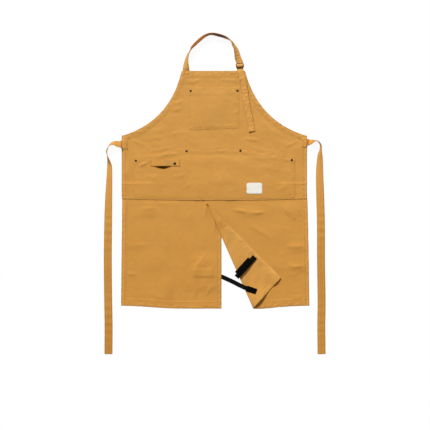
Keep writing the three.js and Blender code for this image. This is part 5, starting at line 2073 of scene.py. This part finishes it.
def turned(name, profile, centre, sides=28):
    """A round piece from a profile of radii and heights, closed at both ends."""
    points = [(0.0, 0.0, profile[0][1])]
    for radius, height in profile:
        for k in range(sides):
            angle = math.tau * k / sides
            points.append((radius * math.cos(angle), radius * math.sin(angle), height))
    points.append((0.0, 0.0, profile[-1][1]))
    faces = []
    for k in range(sides):
        faces.append([0, 1 + (k + 1) % sides, 1 + k])
        for ring in range(len(profile) - 1):
            a, b = 1 + ring * sides + k, 1 + ring * sides + (k + 1) % sides
            faces.append([a, b, b + sides, a + sides])
        last = 1 + (len(profile) - 1) * sides
        faces.append([last + k, last + (k + 1) % sides, last + sides])
    return mesh_object(name, np.array(points) + np.array(centre), faces)


class APRON_OT_metal(bpy.types.Operator):
    """Set the rivets and the snap"""

    bl_idname = "apron.metal"
    bl_label = "Rivets and snap"

    def execute(self, context):
        for node in RIVETS:
            face = chest_face if "chest" in node else pocket_face
            self.stud(node + "_cap", node, face, **RIVET_SIZE)
        self.stud("snap_cap", "loop_snap", loop_face, **SNAP_SIZE)
        return {"FINISHED"}

    def stud(self, name, node, face, shank, high):
        """A cap on the cloth, with its shank, where the frame has them."""
        low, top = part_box(node)
        x, y, radius = (low.x + top.x) / 2, (low.y + top.y) / 2, (top.x - low.x) / 2
        angle = np.linspace(0, math.tau, 24)
        ring_x, ring_y = x + radius * np.cos(angle), y + radius * np.sin(angle)
        seat = float(np.mean(face(ring_x, ring_y)))
        profile = [(0.0002, low.z), (shank, low.z), (shank, seat), (radius * 0.97, seat)]
        profile += [(radius * out, seat + high * up) for out, up in CAP_PROFILE]
        piece = turned(name, profile, (x, y, 0))
        finish_piece(piece, metal_material(), "antique_metal", node)


# Stage


class APRON_OT_stage(bpy.types.Operator):
    """Set the floor, the light and the camera"""

    bl_idname = "apron.stage"
    bl_label = "Stage"

    def execute(self, context):
        stage = context.scene.apron_stage
        self.floor()
        self.light(context, stage)
        self.camera(context, stage)
        return {"FINISHED"}

    def floor(self):
        """Lays the floor."""
        ways = ((-1, -1), (1, -1), (1, 1), (-1, 1))
        corners = [(x * FLOOR_REACH, y * FLOOR_REACH, FLOOR_LEVEL) for x, y in ways]
        floor = mesh_object("floor", corners, [[0, 1, 2, 3]])
        floor.data.materials.append(floor_material())

    def light(self, context, stage):
        """Sets the main light and the soft light."""
        sun = bpy.data.lights.new("main_light", "SUN")
        sun.energy = stage.sun
        sun.angle = math.radians(LIGHT_SPREAD)
        lamp = bpy.data.objects.new("main_light", sun)
        lamp.rotation_euler = Vector(LIGHT_RUN).to_track_quat("-Z", "Y").to_euler()
        context.scene.collection.objects.link(lamp)
        world = bpy.data.worlds.new("soft_light")
        world.use_nodes = True
        tree = world.node_tree
        background = tree.nodes["Background"]
        way = add_node(tree, "ShaderNodeTexCoord").outputs["Generated"]
        shares = (SKY_LOW * stage.sky, (2 - SKY_LOW) * stage.sky)
        strength = map_range(tree, along_y(tree, way), (-1, 1), shares)
        feed_all(tree, background, {"Color": (1, 1, 1), "Strength": strength})
        context.scene.world = world
        context.scene.view_settings.view_transform = "Standard"

    def camera(self, context, stage):
        """Sets the camera above the middle of the picture."""
        lens = bpy.data.cameras.new("camera")
        lens.lens = stage.lens
        lens.sensor_width = SENSOR_WIDTH
        lens.clip_end = 100.0
        camera = bpy.data.objects.new("camera", lens)
        camera.location = (VIEW_CENTRE[0], VIEW_CENTRE[1], stage.width * stage.lens / lens.sensor_width)
        context.scene.collection.objects.link(camera)
        context.scene.camera = camera


class APRON_PT_panel(bpy.types.Panel):
    """The apron's sizes, colours and pieces"""

    bl_idname = "APRON_PT_panel"
    bl_label = "Work apron"
    bl_space_type = "VIEW_3D"
    bl_region_type = "UI"
    bl_category = "Apron"

    def draw(self, context):
        for group in (context.scene.apron_sizes, context.scene.apron_colours, context.scene.apron_stage):
            box = self.layout.box()
            for key in group.__annotations__:
                box.prop(group, key)
        for operator in OPERATORS:
            self.layout.operator(operator.bl_idname)


OPERATORS = (
    APRON_OT_stage,
    APRON_OT_neck_strap,
    APRON_OT_ties,
    APRON_OT_body,
    APRON_OT_skirts,
    APRON_OT_pockets,
    APRON_OT_towel_loop,
    APRON_OT_label,
    APRON_OT_leg_straps,
    APRON_OT_metal,
)
GROUPS = (ApronSizes, ApronColours, ApronStage)


def register():
    """Adds the classes and their settings."""
    for kind in (*GROUPS, *OPERATORS, APRON_PT_panel):
        bpy.utils.register_class(kind)
    bpy.types.Scene.apron_sizes = PointerProperty(type=ApronSizes)
    bpy.types.Scene.apron_colours = PointerProperty(type=ApronColours)
    bpy.types.Scene.apron_stage = PointerProperty(type=ApronStage)


def unregister():
    """Takes the settings and classes out again."""
    del bpy.types.Scene.apron_stage
    del bpy.types.Scene.apron_colours
    del bpy.types.Scene.apron_sizes
    for kind in reversed((*GROUPS, *OPERATORS, APRON_PT_panel)):
        bpy.utils.unregister_class(kind)


def main():
    """Registers the add-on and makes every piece."""
    register()
    bpy.ops.apron.stage()
    bpy.ops.apron.neck_strap()
    bpy.ops.apron.ties()
    bpy.ops.apron.body()
    bpy.ops.apron.skirts()
    bpy.ops.apron.pockets()
    bpy.ops.apron.towel_loop()
    bpy.ops.apron.label()
    bpy.ops.apron.leg_straps()
    bpy.ops.apron.metal()


if __name__ == "__main__":
    main()
